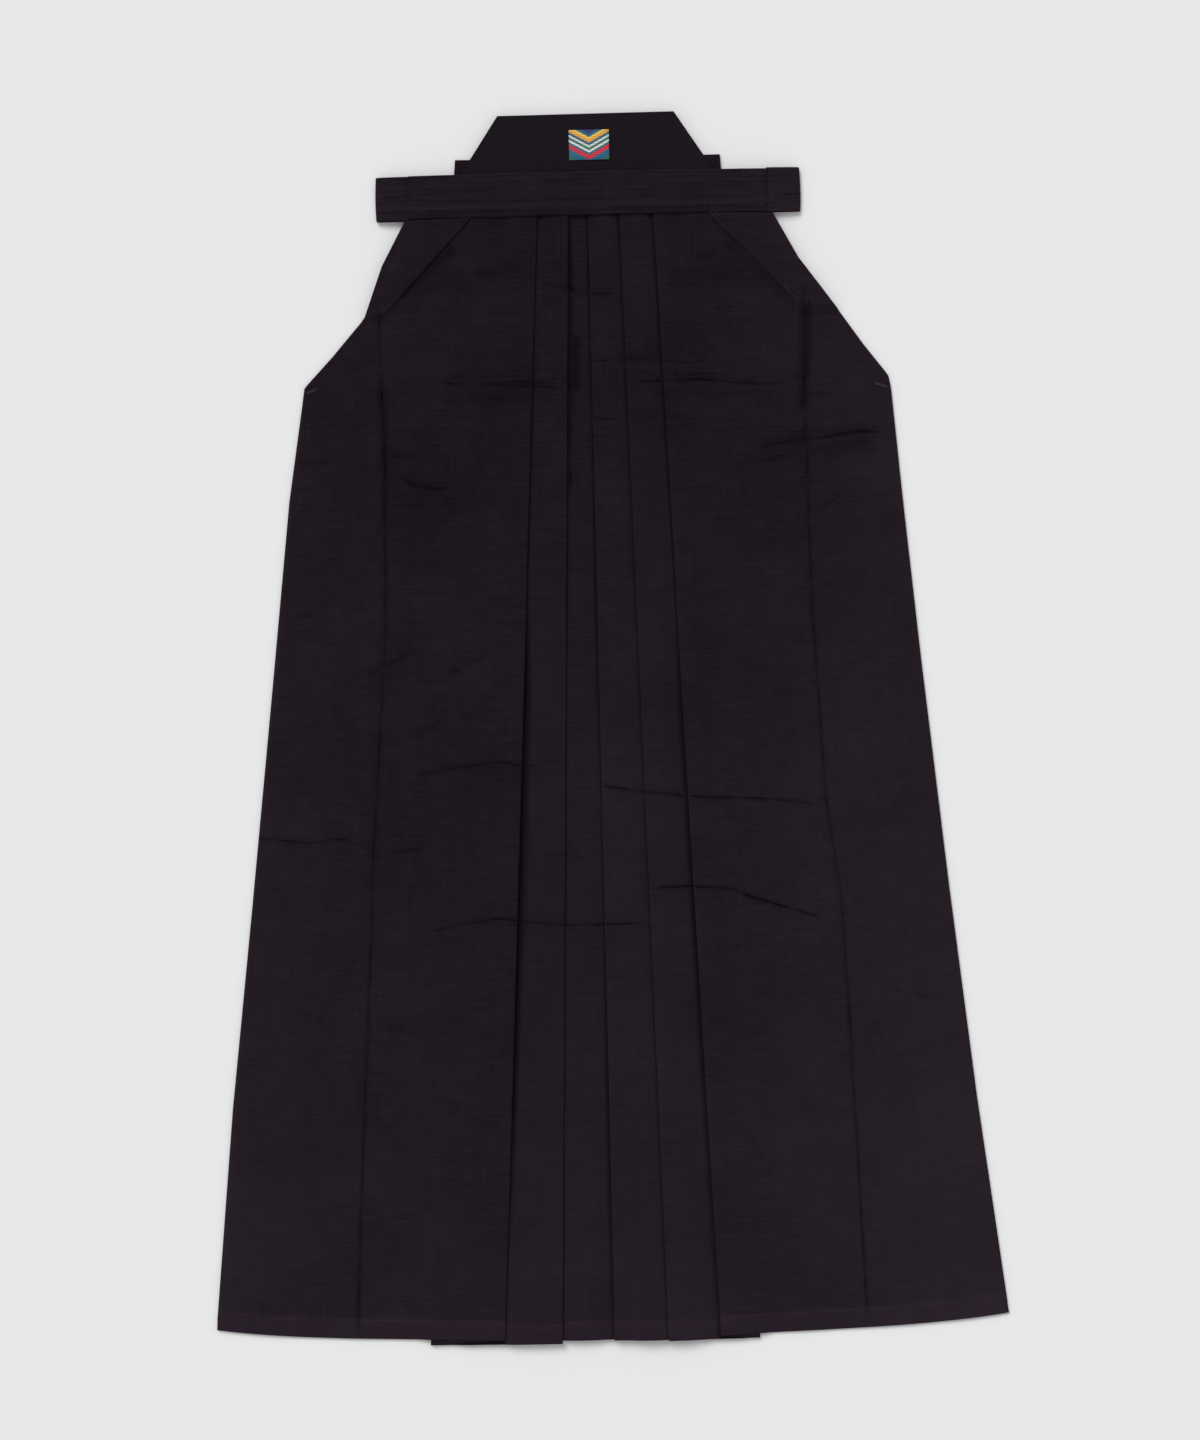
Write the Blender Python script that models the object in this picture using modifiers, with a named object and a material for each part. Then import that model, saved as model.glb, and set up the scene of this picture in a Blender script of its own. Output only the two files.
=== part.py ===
"""Divided, pleated hakama trousers laid flat on a table with the front up.

The garment lies in the XY plane with its waist towards +Y, and +Z is up. Right and left are the
wearer's, so the right leg is at -X. Sizes are in millimetres and become metres in each mesh.

Every wall of cloth is a sheet through sections across the garment. All the sheets share the same
lines down the garment, and each one lies on the sheets under it, so they stack without touching.
"""

import math
from collections import namedtuple

import bmesh
import bpy

MM = 0.001

# Walls and gaps
CLOTH = 1.0
GAP = 0.3
PITCH = CLOTH + GAP
TIE_CLOTH = 1.5
TIE_STACK = 2 * TIE_CLOTH
LIFT = TIE_STACK + GAP
BAND_CLOTH = 2.4
BOARD_CLOTH = 3.5
BOARD_TOP = LIFT + BOARD_CLOTH + GAP
SEAM_HALF_GAP = 0.2
FOLD_REACH = PITCH / 2
FOLD_CLEAR = 1.6

# Heights up the garment
WAIST_Y = 463.0
HEM_Y = -553.0
FRONT_TOP_Y = 492.0
BOARD_BOTTOM_Y = 479.5
BACK_TOP_Y = 479.0
BAND_Y = (462.0, 500.0)
CROTCH_Y = 50.0
FRONT_TIE_END_Y = -335.0
BACK_TIE_END_Y = 125.0
TIE_END_RAMP = (-337.0, -362.0)
SIDES_LEVEL_Y = 374.0

# How near to a side edge the columns over the ties may come
LANE_FROM_EDGE = 6.0
RAMP_FROM_EDGE = 4.5
MIDDLE_FROM_EDGE = 7.5

# Waistband, ties and board
BOARD_HALF_WIDTH = 128.0
BAND_HALF_WIDTH = 161.3
BAND_END_PLAIN = 8.0
BAND_LIFT = 0.9
FRONT_TIE_WIDTH = 40.0
BACK_TIE_WIDTH = 30.0
TIE_SPACING = 3.0
TIE_ZONE_MARGIN = 1.5
TIE_ZONE_WIDTH = BACK_TIE_WIDTH + TIE_SPACING + FRONT_TIE_WIDTH + 2 * TIE_ZONE_MARGIN
TIE_ZONE_OFFSET = 15.0
TIE_OUTER_RAMP = 18.0
TIE_NOTCH_DEPTH = 0.4
TIE_NOTCH_HALF = 0.2
BACK_TIE_Y = (484.0, 514.0)
BACK_TIE_HALF_GAP = 0.6

Outline = namedtuple("Outline", "y right left")
OUTLINE = (
    Outline(492.0, -161.8, 161.8),
    Outline(463.0, -163.6, 164.6),
    Outline(420.0, -186.7, 187.8),
    Outline(374.0, -203.5, 221.8),
    Outline(312.0, -259.0, 267.4),
    Outline(210.0, -275.2, 276.6),
    Outline(60.0, -292.1, 290.3),
    Outline(-150.0, -316.3, 311.4),
    Outline(-337.0, -338.6, 331.8),
    Outline(-525.0, -356.7, 355.4),
    Outline(-553.0, -357.3, 357.3),
)

# The back is narrower than the front above the hips, where the sides are open.
BACK_INSET = 0.5
BACK_OPENING = (
    Outline(479.0, -125.0, 125.0),
    Outline(374.0, -201.5, 205.0),
    Outline(312.0, -258.5, 266.9),
)

# Lines down the garment, from the wearer's right to the left. "faces" is the side that a fold
# turns its edge to, and 0 for a seam. "low" is the hem's height there, for sheets between folds.
Line = namedtuple("Line", "name waist hem faces low")
LINES = (
    Line("main_right_under", -75.0, -164.0, -1, -553.0),
    Line("back_right_under", -61.0, -131.0, -1, -547.5),
    Line("pleat_1", -47.0, -99.0, 1, -549.0),
    Line("strip_right_under", -35.0, -87.0, -1, -550.4),
    Line("pleat_2", -19.0, -47.0, 1, -553.2),
    Line("gusset_right_fold", -12.5, -32.0, -1, -548.0),
    Line("back_right_edge", -8.0, -20.0, 1, -547.5),
    Line("pleat_3", 0.6, 2.0, -1, -551.2),
    Line("back_seam", 7.0, 9.0, 0, -547.5),
    Line("back_left_edge", 14.0, 28.0, -1, -547.5),
    Line("front_seam", 21.0, 38.0, 0, -550.8),
    Line("pleat_4", 29.0, 50.5, -1, -552.3),
    Line("gusset_left_fold", 36.0, 63.0, 1, -548.0),
    Line("strip_left_under", 44.0, 76.0, 1, -551.9),
    Line("pleat_5", 59.5, 98.0, -1, -549.0),
    Line("back_left_under", 66.0, 112.0, 1, -547.5),
    Line("main_left_under", 74.0, 131.0, 1, -552.6),
)

# Sheets from the bottom up. Each one runs between two of the lines, and "top" is where it ends.
Sheet = namedtuple("Sheet", "name first last top")
SHEETS = (
    Sheet("back_right_outer", "right_edge", "back_right_edge", BACK_TOP_Y),
    Sheet("back_left_outer", "back_left_edge", "left_edge", BACK_TOP_Y),
    Sheet("back_right_return", "back_right_under", "back_right_edge", BACK_TOP_Y),
    Sheet("back_left_return", "back_left_edge", "back_left_under", BACK_TOP_Y),
    Sheet("back_right_inner", "back_right_under", "back_seam", BACK_TOP_Y),
    Sheet("back_left_inner", "back_seam", "back_left_under", BACK_TOP_Y),
    Sheet("gusset_right_lower", "gusset_right_fold", "back_seam", CROTCH_Y),
    Sheet("gusset_left_lower", "back_seam", "gusset_left_fold", CROTCH_Y),
    Sheet("gusset_right_upper", "gusset_right_fold", "front_seam", CROTCH_Y),
    Sheet("gusset_left_upper", "front_seam", "gusset_left_fold", CROTCH_Y),
    Sheet("centre_strip", "strip_right_under", "front_seam", FRONT_TOP_Y),
    Sheet("strip_right_return", "strip_right_under", "pleat_2", FRONT_TOP_Y),
    Sheet("strip_right", "main_right_under", "pleat_2", FRONT_TOP_Y),
    Sheet("main_right_return", "main_right_under", "pleat_1", FRONT_TOP_Y),
    Sheet("main_right", "right_edge", "pleat_1", FRONT_TOP_Y),
    Sheet("centre_return", "pleat_3", "front_seam", FRONT_TOP_Y),
    Sheet("inner_strip_left", "pleat_3", "strip_left_under", FRONT_TOP_Y),
    Sheet("strip_left_return", "pleat_4", "strip_left_under", FRONT_TOP_Y),
    Sheet("strip_left", "pleat_4", "main_left_under", FRONT_TOP_Y),
    Sheet("main_left_return", "pleat_5", "main_left_under", FRONT_TOP_Y),
    Sheet("main_left", "pleat_5", "left_edge", FRONT_TOP_Y),
)

# The sheets of each leg's front, from the side seam through its pleats to the front seam
FRONTS = {
    "right": ("main_right", "main_right_return", "strip_right", "strip_right_return", "centre_strip"),
    "left": (
        "main_left",
        "main_left_return",
        "strip_left",
        "strip_left_return",
        "inner_strip_left",
        "centre_return",
    ),
}

# The heights that the sections are at, from the waist down
LOWER_STATIONS = (50.0, -150.0, -337.0, -362.0, -553.0)
STATIONS = (492.0, 480.0, 463.0, 420.0, 374.0, 312.0, 210.0, 75.0) + LOWER_STATIONS
BACK_STATIONS = (479.0,) + STATIONS[2:]
GUSSET_STATIONS = LOWER_STATIONS

# Hems: the main sheets curve up to the side seams, and the strips under them hang a little lower.
MAIN_HEM_Y = -549.0
MAIN_HEM_RISE = 14.3
MAIN_HEM_FLAT = 95.0
MAIN_HEM_SLOPE = 0.45
MAIN_HEM_CURL = 0.55
HALF_HEM = 357.3
BACK_HEM_INSET = 1.5

COLOURS = {
    "black_cotton": (0.0155, 0.0110, 0.0160),
    "tie_cotton": (0.0200, 0.0155, 0.0220),
    "board_cotton": (0.0130, 0.0095, 0.0135),
    "thread": (0.0300, 0.0240, 0.0300),
    "woven_label": (0.0600, 0.1600, 0.1900),
}


def clear_scene():
    for item in list(bpy.data.objects):
        bpy.data.objects.remove(item)


def new_collection(name, hidden=False):
    collection = bpy.data.collections.new(name)
    bpy.context.scene.collection.children.link(collection)
    collection.hide_render = hidden
    return collection


def material(name, roughness=0.85):
    found = bpy.data.materials.get(name)
    if found:
        return found
    made = bpy.data.materials.new(name)
    made.use_nodes = True
    shader = made.node_tree.nodes["Principled BSDF"]
    shader.inputs["Base Color"].default_value = (*COLOURS[name], 1.0)
    shader.inputs["Roughness"].default_value = roughness
    shader.inputs["Metallic"].default_value = 0.0
    made.diffuse_color = (*COLOURS[name], 1.0)
    return made


def between(rows, y, column):
    """The value of a table's column at this height, on straight lines between its rows."""
    above = rows[0]
    for below in rows[1:]:
        if y >= below.y:
            share = (above.y - y) / (above.y - below.y)
            return getattr(above, column) * (1 - share) + getattr(below, column) * share
        above = below
    return getattr(rows[-1], column)


def line_x(line, y):
    share = (WAIST_Y - y) / (WAIST_Y - HEM_Y)
    return line.waist + (line.hem - line.waist) * share


def named_line(name):
    return next(line for line in LINES if line.name == name)


def tie_zone(side, y):
    """Where the ties lie under one side of the back: its inner and outer x, as positive sizes."""
    line = named_line("main_right_under" if side < 0 else "main_left_under")
    inner = abs(line_x(line, y)) + TIE_ZONE_OFFSET
    return inner, inner + TIE_ZONE_WIDTH


def tie_cover(x, y):
    """1 where a sheet lies on the ties, 0 where it lies on the table, with a ramp between."""
    inner, outer = tie_zone(-1 if x < 0 else 1, y)
    inner_ramp = (inner - abs(x)) / (TIE_ZONE_OFFSET - FOLD_CLEAR)
    outer_ramp = (abs(x) - outer) / TIE_OUTER_RAMP if y < SIDES_LEVEL_Y else 0.0
    end_ramp = (TIE_END_RAMP[0] - y) / (TIE_END_RAMP[0] - TIE_END_RAMP[1])
    return min(1.0, max(0.0, 1.0 - max(inner_ramp, outer_ramp, end_ramp)))


def base_height(x, y):
    """The height that the lowest sheet rests on: the board, the ties or the table."""
    if y > BACK_TOP_Y:
        past_board = (abs(x) - BOARD_HALF_WIDTH) / (BAND_HALF_WIDTH - BOARD_HALF_WIDTH)
        return BOARD_TOP - (BOARD_TOP - LIFT - PITCH) * min(1.0, max(0.0, past_board))
    return LIFT * tie_cover(x, y)


def side_columns(side, y, edge):
    """Columns from a side edge in to the pleats, squeezed together where the garment is narrow."""
    inner, outer = tie_zone(side, y)
    reach = abs(edge)
    lane_x = min(outer, reach - LANE_FROM_EDGE)
    ramp = min(outer + TIE_OUTER_RAMP, reach - RAMP_FROM_EDGE)
    middle = min((inner + outer) / 2, reach - MIDDLE_FROM_EDGE)
    name = "right" if side < 0 else "left"
    return [
        (f"{name}_edge", edge),
        (f"{name}_side_1", side * (reach + (ramp - reach) / 3)),
        (f"{name}_side_2", side * (reach + (ramp - reach) * 2 / 3)),
        (f"{name}_ramp", side * ramp),
        (f"{name}_lane", side * lane_x),
        (f"{name}_lane_middle", side * middle),
        (f"{name}_lane_inner", side * inner),
    ]


def columns_at(y, edges):
    """Every column's name and x at this height, from the wearer's right to the left."""
    found = side_columns(-1, y, edges[0])
    for line in LINES:
        x = line_x(line, y)
        clear = (f"{line.name}_clear", x + line.faces * FOLD_CLEAR)
        if line.faces < 0:
            found.append(clear)
        found.append((line.name, x))
        if line.faces > 0:
            found.append(clear)
    return found + side_columns(1, y, edges[1])[::-1]


COLUMN_NAMES = [name for name, _ in columns_at(0.0, (-300.0, 300.0))]


def reach_of(sheet):
    """The columns that a sheet takes up in the stack, with room for the turn of each of its folds."""
    first = COLUMN_NAMES.index(sheet.first)
    last = COLUMN_NAMES.index(sheet.last)
    if f"{sheet.first}_clear" in COLUMN_NAMES[:first]:
        first -= 1
    if f"{sheet.last}_clear" in COLUMN_NAMES[last:]:
        last += 1
    if sheet.last.endswith("seam") and sheet.name.startswith(("back_right", "gusset_right")):
        last -= 1  # the left leg's sheet begins at this seam, at the same level
    return range(first, last + 1)


REACHES = {sheet.name: reach_of(sheet) for sheet in SHEETS}


def stack_below(name, column, y):
    """How many sheets lie under this one at a column."""
    count = 0
    for sheet in SHEETS:
        if sheet.name == name:
            break
        if y <= sheet.top and column in REACHES[sheet.name]:
            count += 1
    return count


def front_edges(y):
    return between(OUTLINE, y, "right"), between(OUTLINE, y, "left")


def back_edges(y):
    if y > BACK_OPENING[-1].y:
        return between(BACK_OPENING, y, "right"), between(BACK_OPENING, y, "left")
    right, left = front_edges(y)
    return right + BACK_INSET, left - BACK_INSET


def main_hem_y(x):
    """The main sheets' hem, which curves up to the side seams."""
    out = max(0.0, (abs(x) - MAIN_HEM_FLAT) / (HALF_HEM - MAIN_HEM_FLAT))
    return MAIN_HEM_Y + MAIN_HEM_RISE * (MAIN_HEM_SLOPE * out + MAIN_HEM_CURL * out**4)


def hem_y(sheet, x):
    """The hem's height at a point of a sheet."""
    back = sheet.name.startswith("back")
    if back or "right_edge" == sheet.first or "left_edge" == sheet.last:
        return main_hem_y(x) + (BACK_HEM_INSET if back else 0.0)
    first, last = named_line(sheet.first), named_line(sheet.last)
    share = (x - first.hem) / (last.hem - first.hem)
    return first.low + (last.low - first.low) * share


def sheet_points(name, y, edges, seam_shift=0.0):
    """One sheet's section at this height, as points from its first line to its last."""
    sheet = next(sheet for sheet in SHEETS if sheet.name == name)
    columns = columns_at(y, edges)
    points = []
    for column in range(COLUMN_NAMES.index(sheet.first), COLUMN_NAMES.index(sheet.last) + 1):
        label, x = columns[column]
        if label in (sheet.first, sheet.last) and label.endswith("seam"):
            x += seam_shift
        z = base_height(x, y) + CLOTH / 2 + PITCH * stack_below(name, column, y)
        points.append((x, hem_y(sheet, x) if y == HEM_Y else y, z))
    return points


def panel_section(runs, y, edges, seam_shift):
    """A folded panel's section: its sheets one after another, with a turn between each two."""
    section = []
    first, second = (next(sheet for sheet in SHEETS if sheet.name == name) for name in runs[:2])
    forward = first.last in (second.first, second.last)
    for name in runs:
        points = sheet_points(name, y, edges, seam_shift)
        if not forward:
            points.reverse()
        if section:
            before, after = section[-1], points[0]
            side = 1 if before[0] > section[-2][0] else -1
            turn = before[0] + side * FOLD_REACH
            section.append((turn, (before[1] + after[1]) / 2, (before[2] + after[2]) / 2))
        section.extend(points)
        forward = not forward
    return section


def off_line(before, point, after):
    """How far a point is from the straight line between two others."""
    along = [b - a for a, b in zip(before, after)]
    to_point = [b - a for a, b in zip(before, point)]
    length = math.sqrt(sum(d * d for d in along))
    share = sum(a * b for a, b in zip(along, to_point)) / (length * length)
    return math.dist(to_point, [share * d for d in along])


def thinned(sections, tolerance=0.02):
    """The sections without the columns that bend none of them."""
    kept = [0]
    for column in range(1, len(sections[0]) - 1):
        for section in sections:
            if off_line(section[kept[-1]], section[column], section[column + 1]) > tolerance:
                kept.append(column)
                break
    kept.append(len(sections[0]) - 1)
    return [[section[column] for column in kept] for section in sections]


def add_object(name, data, look, collection):
    made = bpy.data.objects.new(name, data)
    made.data.materials.append(material(look))
    collection.objects.link(made)
    return made


def loft(name, sections, thickness, look, collection):
    """A wall of cloth through the sections, which all have the same number of points."""
    across = len(sections[0])
    mesh = bpy.data.meshes.new(name)
    form = bmesh.new()
    bmesh.ops.create_grid(form, x_segments=across - 1, y_segments=len(sections) - 1, size=1.0)
    form.verts.ensure_lookup_table()
    for row, section in enumerate(sections):
        for column, point in enumerate(section):
            form.verts[row * across + column].co = [value * MM for value in point]
    form.to_mesh(mesh)
    form.free()
    made = add_object(name, mesh, look, collection)
    wall = made.modifiers.new("Wall", "SOLIDIFY")
    wall.thickness = thickness * MM
    wall.offset = 0.0
    wall.use_even_offset = True
    return made


def add_panel(name, runs, stations, edges_of, collection):
    """A folded panel of cloth through its sections at the stations."""
    seam_shift = -SEAM_HALF_GAP if name.endswith("right") else SEAM_HALF_GAP
    sections = [panel_section(runs, y, edges_of(y), seam_shift) for y in stations]
    return loft(name, thinned(sections), CLOTH, "black_cotton", collection)


def on_section(points, x):
    """The height at x of a section, which is held level past its ends."""
    points = sorted(points)
    if x <= points[0][0]:
        return points[0][2]
    for before, after in zip(points, points[1:]):
        if x <= after[0]:
            share = (x - before[0]) / (after[0] - before[0])
            return before[2] + (after[2] - before[2]) * share
    return points[-1][2]


def front_surface(x, y):
    """The height of the middle of the front's main sheet at a point of either side."""
    name = "main_right" if x < 0 else "main_left"
    high = min(station for station in STATIONS if station >= y)
    low = max(station for station in STATIONS if station < y)
    upper, lower = (on_section(sheet_points(name, at, front_edges(at)), x) for at in (high, low))
    return lower + (upper - lower) * (y - low) / (high - low)


# The stitched triangular fold below each end of the waistband: its inner edge at each height. Its
# top runs from below the tie at the side up to the waistband.
SideFold = namedtuple("SideFold", "y right left rise")
SIDE_FOLD = (
    SideFold(459.2, -105.5, 106.8, 2.2),
    SideFold(420.0, -144.4, 147.0, 0.0),
    SideFold(376.0, -185.5, 188.6, 0.0),
)
SIDE_FOLD_COLUMNS = 10
SIDE_FOLD_LIFT = PITCH + 0.15


def add_side_fold(name, side, collection):
    """A side fold, made from the front's points moved up by a wall and a gap."""
    sections = []
    for row in SIDE_FOLD:
        outer = front_edges(row.y)[0 if side < 0 else 1]
        inner = row.right if side < 0 else row.left
        section = []
        for step in range(SIDE_FOLD_COLUMNS + 1):
            share = step / SIDE_FOLD_COLUMNS
            x = outer + (inner - outer) * share
            y = row.y + row.rise * share
            section.append((x, y, front_surface(x, y) + SIDE_FOLD_LIFT))
        sections.append(section)
    return loft(name, thinned(sections), CLOTH, "black_cotton", collection)


def stack_height(column, y):
    """The height of all the sheets at a column, without what they rest on."""
    count = sum(1 for sheet in SHEETS if y <= sheet.top and column in REACHES[sheet.name])
    return count * PITCH


def add_waistband(collection):
    """The stretch of the front tie that is sewn over the top of the pleats."""
    sections = []
    for y, level in zip((BAND_Y[0], 480.0, BAND_Y[1]), (WAIST_Y, 480.0, FRONT_TOP_Y)):
        section = []
        for column, (label, x) in enumerate(columns_at(level, front_edges(level))):
            if label in ("right_edge", "left_edge"):
                x = math.copysign(BAND_HALF_WIDTH, x)
            elif abs(x) > BAND_HALF_WIDTH - BAND_END_PLAIN:
                continue
            z = base_height(x, level) + stack_height(column, level) + BAND_LIFT + BAND_CLOTH / 2
            section.append((x, y, z))
        sections.append(section)
    return loft("waistband", sections, BAND_CLOTH, "tie_cotton", collection)


def inset(outline, distance):
    """A closed outline moved inwards by a distance. It runs anticlockwise."""
    moved = []
    for i, (x, y) in enumerate(outline):
        before, after = outline[i - 1], outline[(i + 1) % len(outline)]
        first = math.atan2(y - before[1], x - before[0]) + math.pi / 2
        second = math.atan2(after[1] - y, after[0] - x) + math.pi / 2
        half = (math.remainder(second - first, math.tau)) / 2
        reach = distance / math.cos(half)
        moved.append((x + reach * math.cos(first + half), y + reach * math.sin(first + half)))
    return moved


def ring(form, outline, z):
    verts = [form.verts.new((x * MM, y * MM, z * MM)) for x, y in outline]
    return [form.edges.new((a, b)) for a, b in zip(verts, verts[1:] + verts[:1])]


def stacked_layers(name, outline, layers, look, collection):
    """A strip of several flat layers as one solid, with a notch round it between each two layers."""
    narrow = inset(outline, TIE_NOTCH_DEPTH)
    levels = [(outline, 0.0)]
    for layer in range(1, layers):
        z = layer * TIE_CLOTH
        levels += [(outline, z - TIE_NOTCH_HALF), (narrow, z), (outline, z + TIE_NOTCH_HALF)]
    levels.append((outline, layers * TIE_CLOTH))
    form = bmesh.new()
    rings = [ring(form, shape, z) for shape, z in levels]
    for lower, upper in zip(rings, rings[1:]):
        bmesh.ops.bridge_loops(form, edges=lower + upper)
    for end in (rings[0], rings[-1]):
        bmesh.ops.contextual_create(form, geom=end)
    bmesh.ops.recalc_face_normals(form, faces=form.faces)
    mesh = bpy.data.meshes.new(name)
    form.to_mesh(mesh)
    form.free()
    return add_object(name, mesh, look, collection)


def lane(side, near, width, top, bottom):
    """The four corners of a strip that lies along the tie zone, anticlockwise for the right side."""
    inner_top = tie_zone(side, top)[0] + TIE_ZONE_MARGIN + near
    inner_bottom = tie_zone(side, bottom)[0] + TIE_ZONE_MARGIN + near
    return [
        (side * inner_top, top),
        (side * (inner_top + width), top),
        (side * (inner_bottom + width), bottom),
        (side * inner_bottom, bottom),
    ]


def anticlockwise(outline):
    area = sum(a[0] * b[1] - b[0] * a[1] for a, b in zip(outline, outline[1:] + outline[:1]))
    return outline if area > 0 else outline[::-1]


def add_back_tie(name, side, collection):
    """The tie from the board: along the board's foot, then folded down under the back and up again."""
    low, high = BACK_TIE_Y
    top_in, top_out, end_out, end_in = lane(side, 0.0, BACK_TIE_WIDTH, high, BACK_TIE_END_Y)
    share = (high - low) / (high - BACK_TIE_END_Y)
    elbow = top_in[0] + (end_in[0] - top_in[0]) * share
    middle = side * BACK_TIE_HALF_GAP
    outline = [(middle, high), top_out, end_out, end_in, (elbow, low), (middle, low)]
    return stacked_layers(name, anticlockwise(outline), 2, "tie_cotton", collection)


# The front tie past the waistband, as the middle of its section: out, round its outer fold and back
# under the garment to its lane.
TieTurn = namedtuple("TieTurn", "x z")
FRONT_TIE_TURN = (
    TieTurn(161.8, 7.1),
    TieTurn(172.0, 6.9),
    TieTurn(183.0, 5.9),
    TieTurn(190.2, 4.4),
    TieTurn(192.2, 2.6),
    TieTurn(190.0, 0.85),
    TieTurn(176.0, 0.80),
    TieTurn(145.0, 0.80),
)
FRONT_TIE_Y = {"right": (460.0, 499.6), "left": (461.2, 500.6)}
TURN_OVERHANG = 0.5


def add_front_tie(name, side, collection, helpers):
    """One end of the front tie: its visible turn, joined to the two layers of its hidden length."""
    low, high = FRONT_TIE_Y["right" if side < 0 else "left"]
    near = BACK_TIE_WIDTH + TIE_SPACING
    corners = lane(side, near, FRONT_TIE_WIDTH, high - TURN_OVERHANG, FRONT_TIE_END_Y)
    outline = anticlockwise(corners)
    made = stacked_layers(name, outline, 2, "tie_cotton", collection)
    sections = [[(side * row.x, y, row.z) for row in FRONT_TIE_TURN] for y in (low, high)]
    turn = loft(f"{name}_turn", sections, TIE_CLOTH, "tie_cotton", helpers)
    turn.hide_render = True
    turn.display_type = "WIRE"
    join = made.modifiers.new("Turn", "BOOLEAN")
    join.operation = "UNION"
    join.object = turn
    return made


BOARD = ((-80.0, 552.6), (78.8, 553.4), (127.0, BOARD_BOTTOM_Y), (-128.0, BOARD_BOTTOM_Y))


def add_plate(name, outline, low, high, bevel, look, collection):
    """A flat piece with eased edges."""
    form = bmesh.new()
    lower = ring(form, outline, low)
    face = bmesh.ops.contextual_create(form, geom=lower)["faces"]
    raised = bmesh.ops.extrude_face_region(form, geom=face)["geom"]
    verts = [item for item in raised if isinstance(item, bmesh.types.BMVert)]
    bmesh.ops.translate(form, verts=verts, vec=(0.0, 0.0, (high - low) * MM))
    bmesh.ops.recalc_face_normals(form, faces=form.faces)
    mesh = bpy.data.meshes.new(name)
    form.to_mesh(mesh)
    form.free()
    made = add_object(name, mesh, look, collection)
    ease = made.modifiers.new("Eased edges", "BEVEL")
    ease.width = bevel * MM
    ease.segments = 2
    return made


def add_board(collection):
    return add_plate("back_board", BOARD, LIFT, LIFT + BOARD_CLOTH, 0.8, "board_cotton", collection)


LABEL_SIZE = (36.0, 27.0)
LABEL_CENTRE = (2.0, 524.8)
LABEL_CLOTH = 1.0


def rectangle(centre, size, turn=0.0):
    corners = [(-0.5, -0.5), (0.5, -0.5), (0.5, 0.5), (-0.5, 0.5)]
    cosine, sine = math.cos(turn), math.sin(turn)
    placed = []
    for across, along in corners:
        x, y = across * size[0], along * size[1]
        placed.append((centre[0] + x * cosine - y * sine, centre[1] + x * sine + y * cosine))
    return placed


def add_label(collection):
    outline = rectangle(LABEL_CENTRE, LABEL_SIZE)
    return add_plate("label", outline, BOARD_TOP, BOARD_TOP + LABEL_CLOTH, 0.25, "woven_label", collection)


BarTack = namedtuple("BarTack", "x y turn")
BAR_TACKS = {
    "bar_tack_right": BarTack(-251.0, 309.5, 0.35),
    "bar_tack_left": BarTack(259.5, 303.5, -0.35),
}
BAR_TACK_SIZE = (12.0, 3.0)
BAR_TACK_THREAD = 1.0


def add_bar_tack(name, row, collection):
    low = front_surface(row.x, row.y) + CLOTH / 2 + GAP
    outline = rectangle((row.x, row.y), BAR_TACK_SIZE, row.turn)
    return add_plate(name, outline, low, low + BAR_TACK_THREAD, 0.3, "thread", collection)


def main():
    clear_scene()
    garment = new_collection("hakama_trousers")
    helpers = new_collection("helpers", hidden=True)
    for side in ("right", "left"):
        back = [f"back_{side}_{run}" for run in ("outer", "return", "inner")]
        gusset = [f"gusset_{side}_{run}" for run in ("lower", "upper")]
        add_panel(f"back_{side}", back, BACK_STATIONS, back_edges, garment)
        add_panel(f"gusset_{side}", gusset, GUSSET_STATIONS, front_edges, garment)
        add_panel(f"front_{side}", FRONTS[side], STATIONS, front_edges, garment)
    for side, sign in (("right", -1), ("left", 1)):
        add_side_fold(f"side_fold_{side}", sign, garment)
        add_back_tie(f"back_tie_{side}", sign, garment)
        add_front_tie(f"front_tie_{side}", sign, garment, helpers)
    add_waistband(garment)
    add_board(garment)
    add_label(garment)
    for name, row in BAR_TACKS.items():
        add_bar_tack(name, row, garment)


main()
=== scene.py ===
import math

import bmesh
import bpy
import numpy as np
from mathutils import Matrix, Vector


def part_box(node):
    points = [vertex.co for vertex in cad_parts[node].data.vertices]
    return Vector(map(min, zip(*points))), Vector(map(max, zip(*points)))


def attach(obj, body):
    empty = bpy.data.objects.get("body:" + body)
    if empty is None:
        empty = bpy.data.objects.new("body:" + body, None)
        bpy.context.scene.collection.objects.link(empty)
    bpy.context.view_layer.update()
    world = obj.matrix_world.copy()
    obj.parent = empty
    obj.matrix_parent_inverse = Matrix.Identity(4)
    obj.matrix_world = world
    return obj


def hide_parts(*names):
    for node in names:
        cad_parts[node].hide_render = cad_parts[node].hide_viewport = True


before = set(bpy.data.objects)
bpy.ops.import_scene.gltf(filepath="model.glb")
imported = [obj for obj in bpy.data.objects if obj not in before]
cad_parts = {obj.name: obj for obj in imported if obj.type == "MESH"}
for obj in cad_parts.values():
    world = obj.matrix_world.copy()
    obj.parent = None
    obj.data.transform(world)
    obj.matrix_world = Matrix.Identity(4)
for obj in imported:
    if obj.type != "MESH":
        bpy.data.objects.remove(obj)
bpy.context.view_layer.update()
print("frame loaded,", len(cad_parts), "nodes")

mm = 0.001  # every size below is in millimetres until it goes into a mesh

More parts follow.
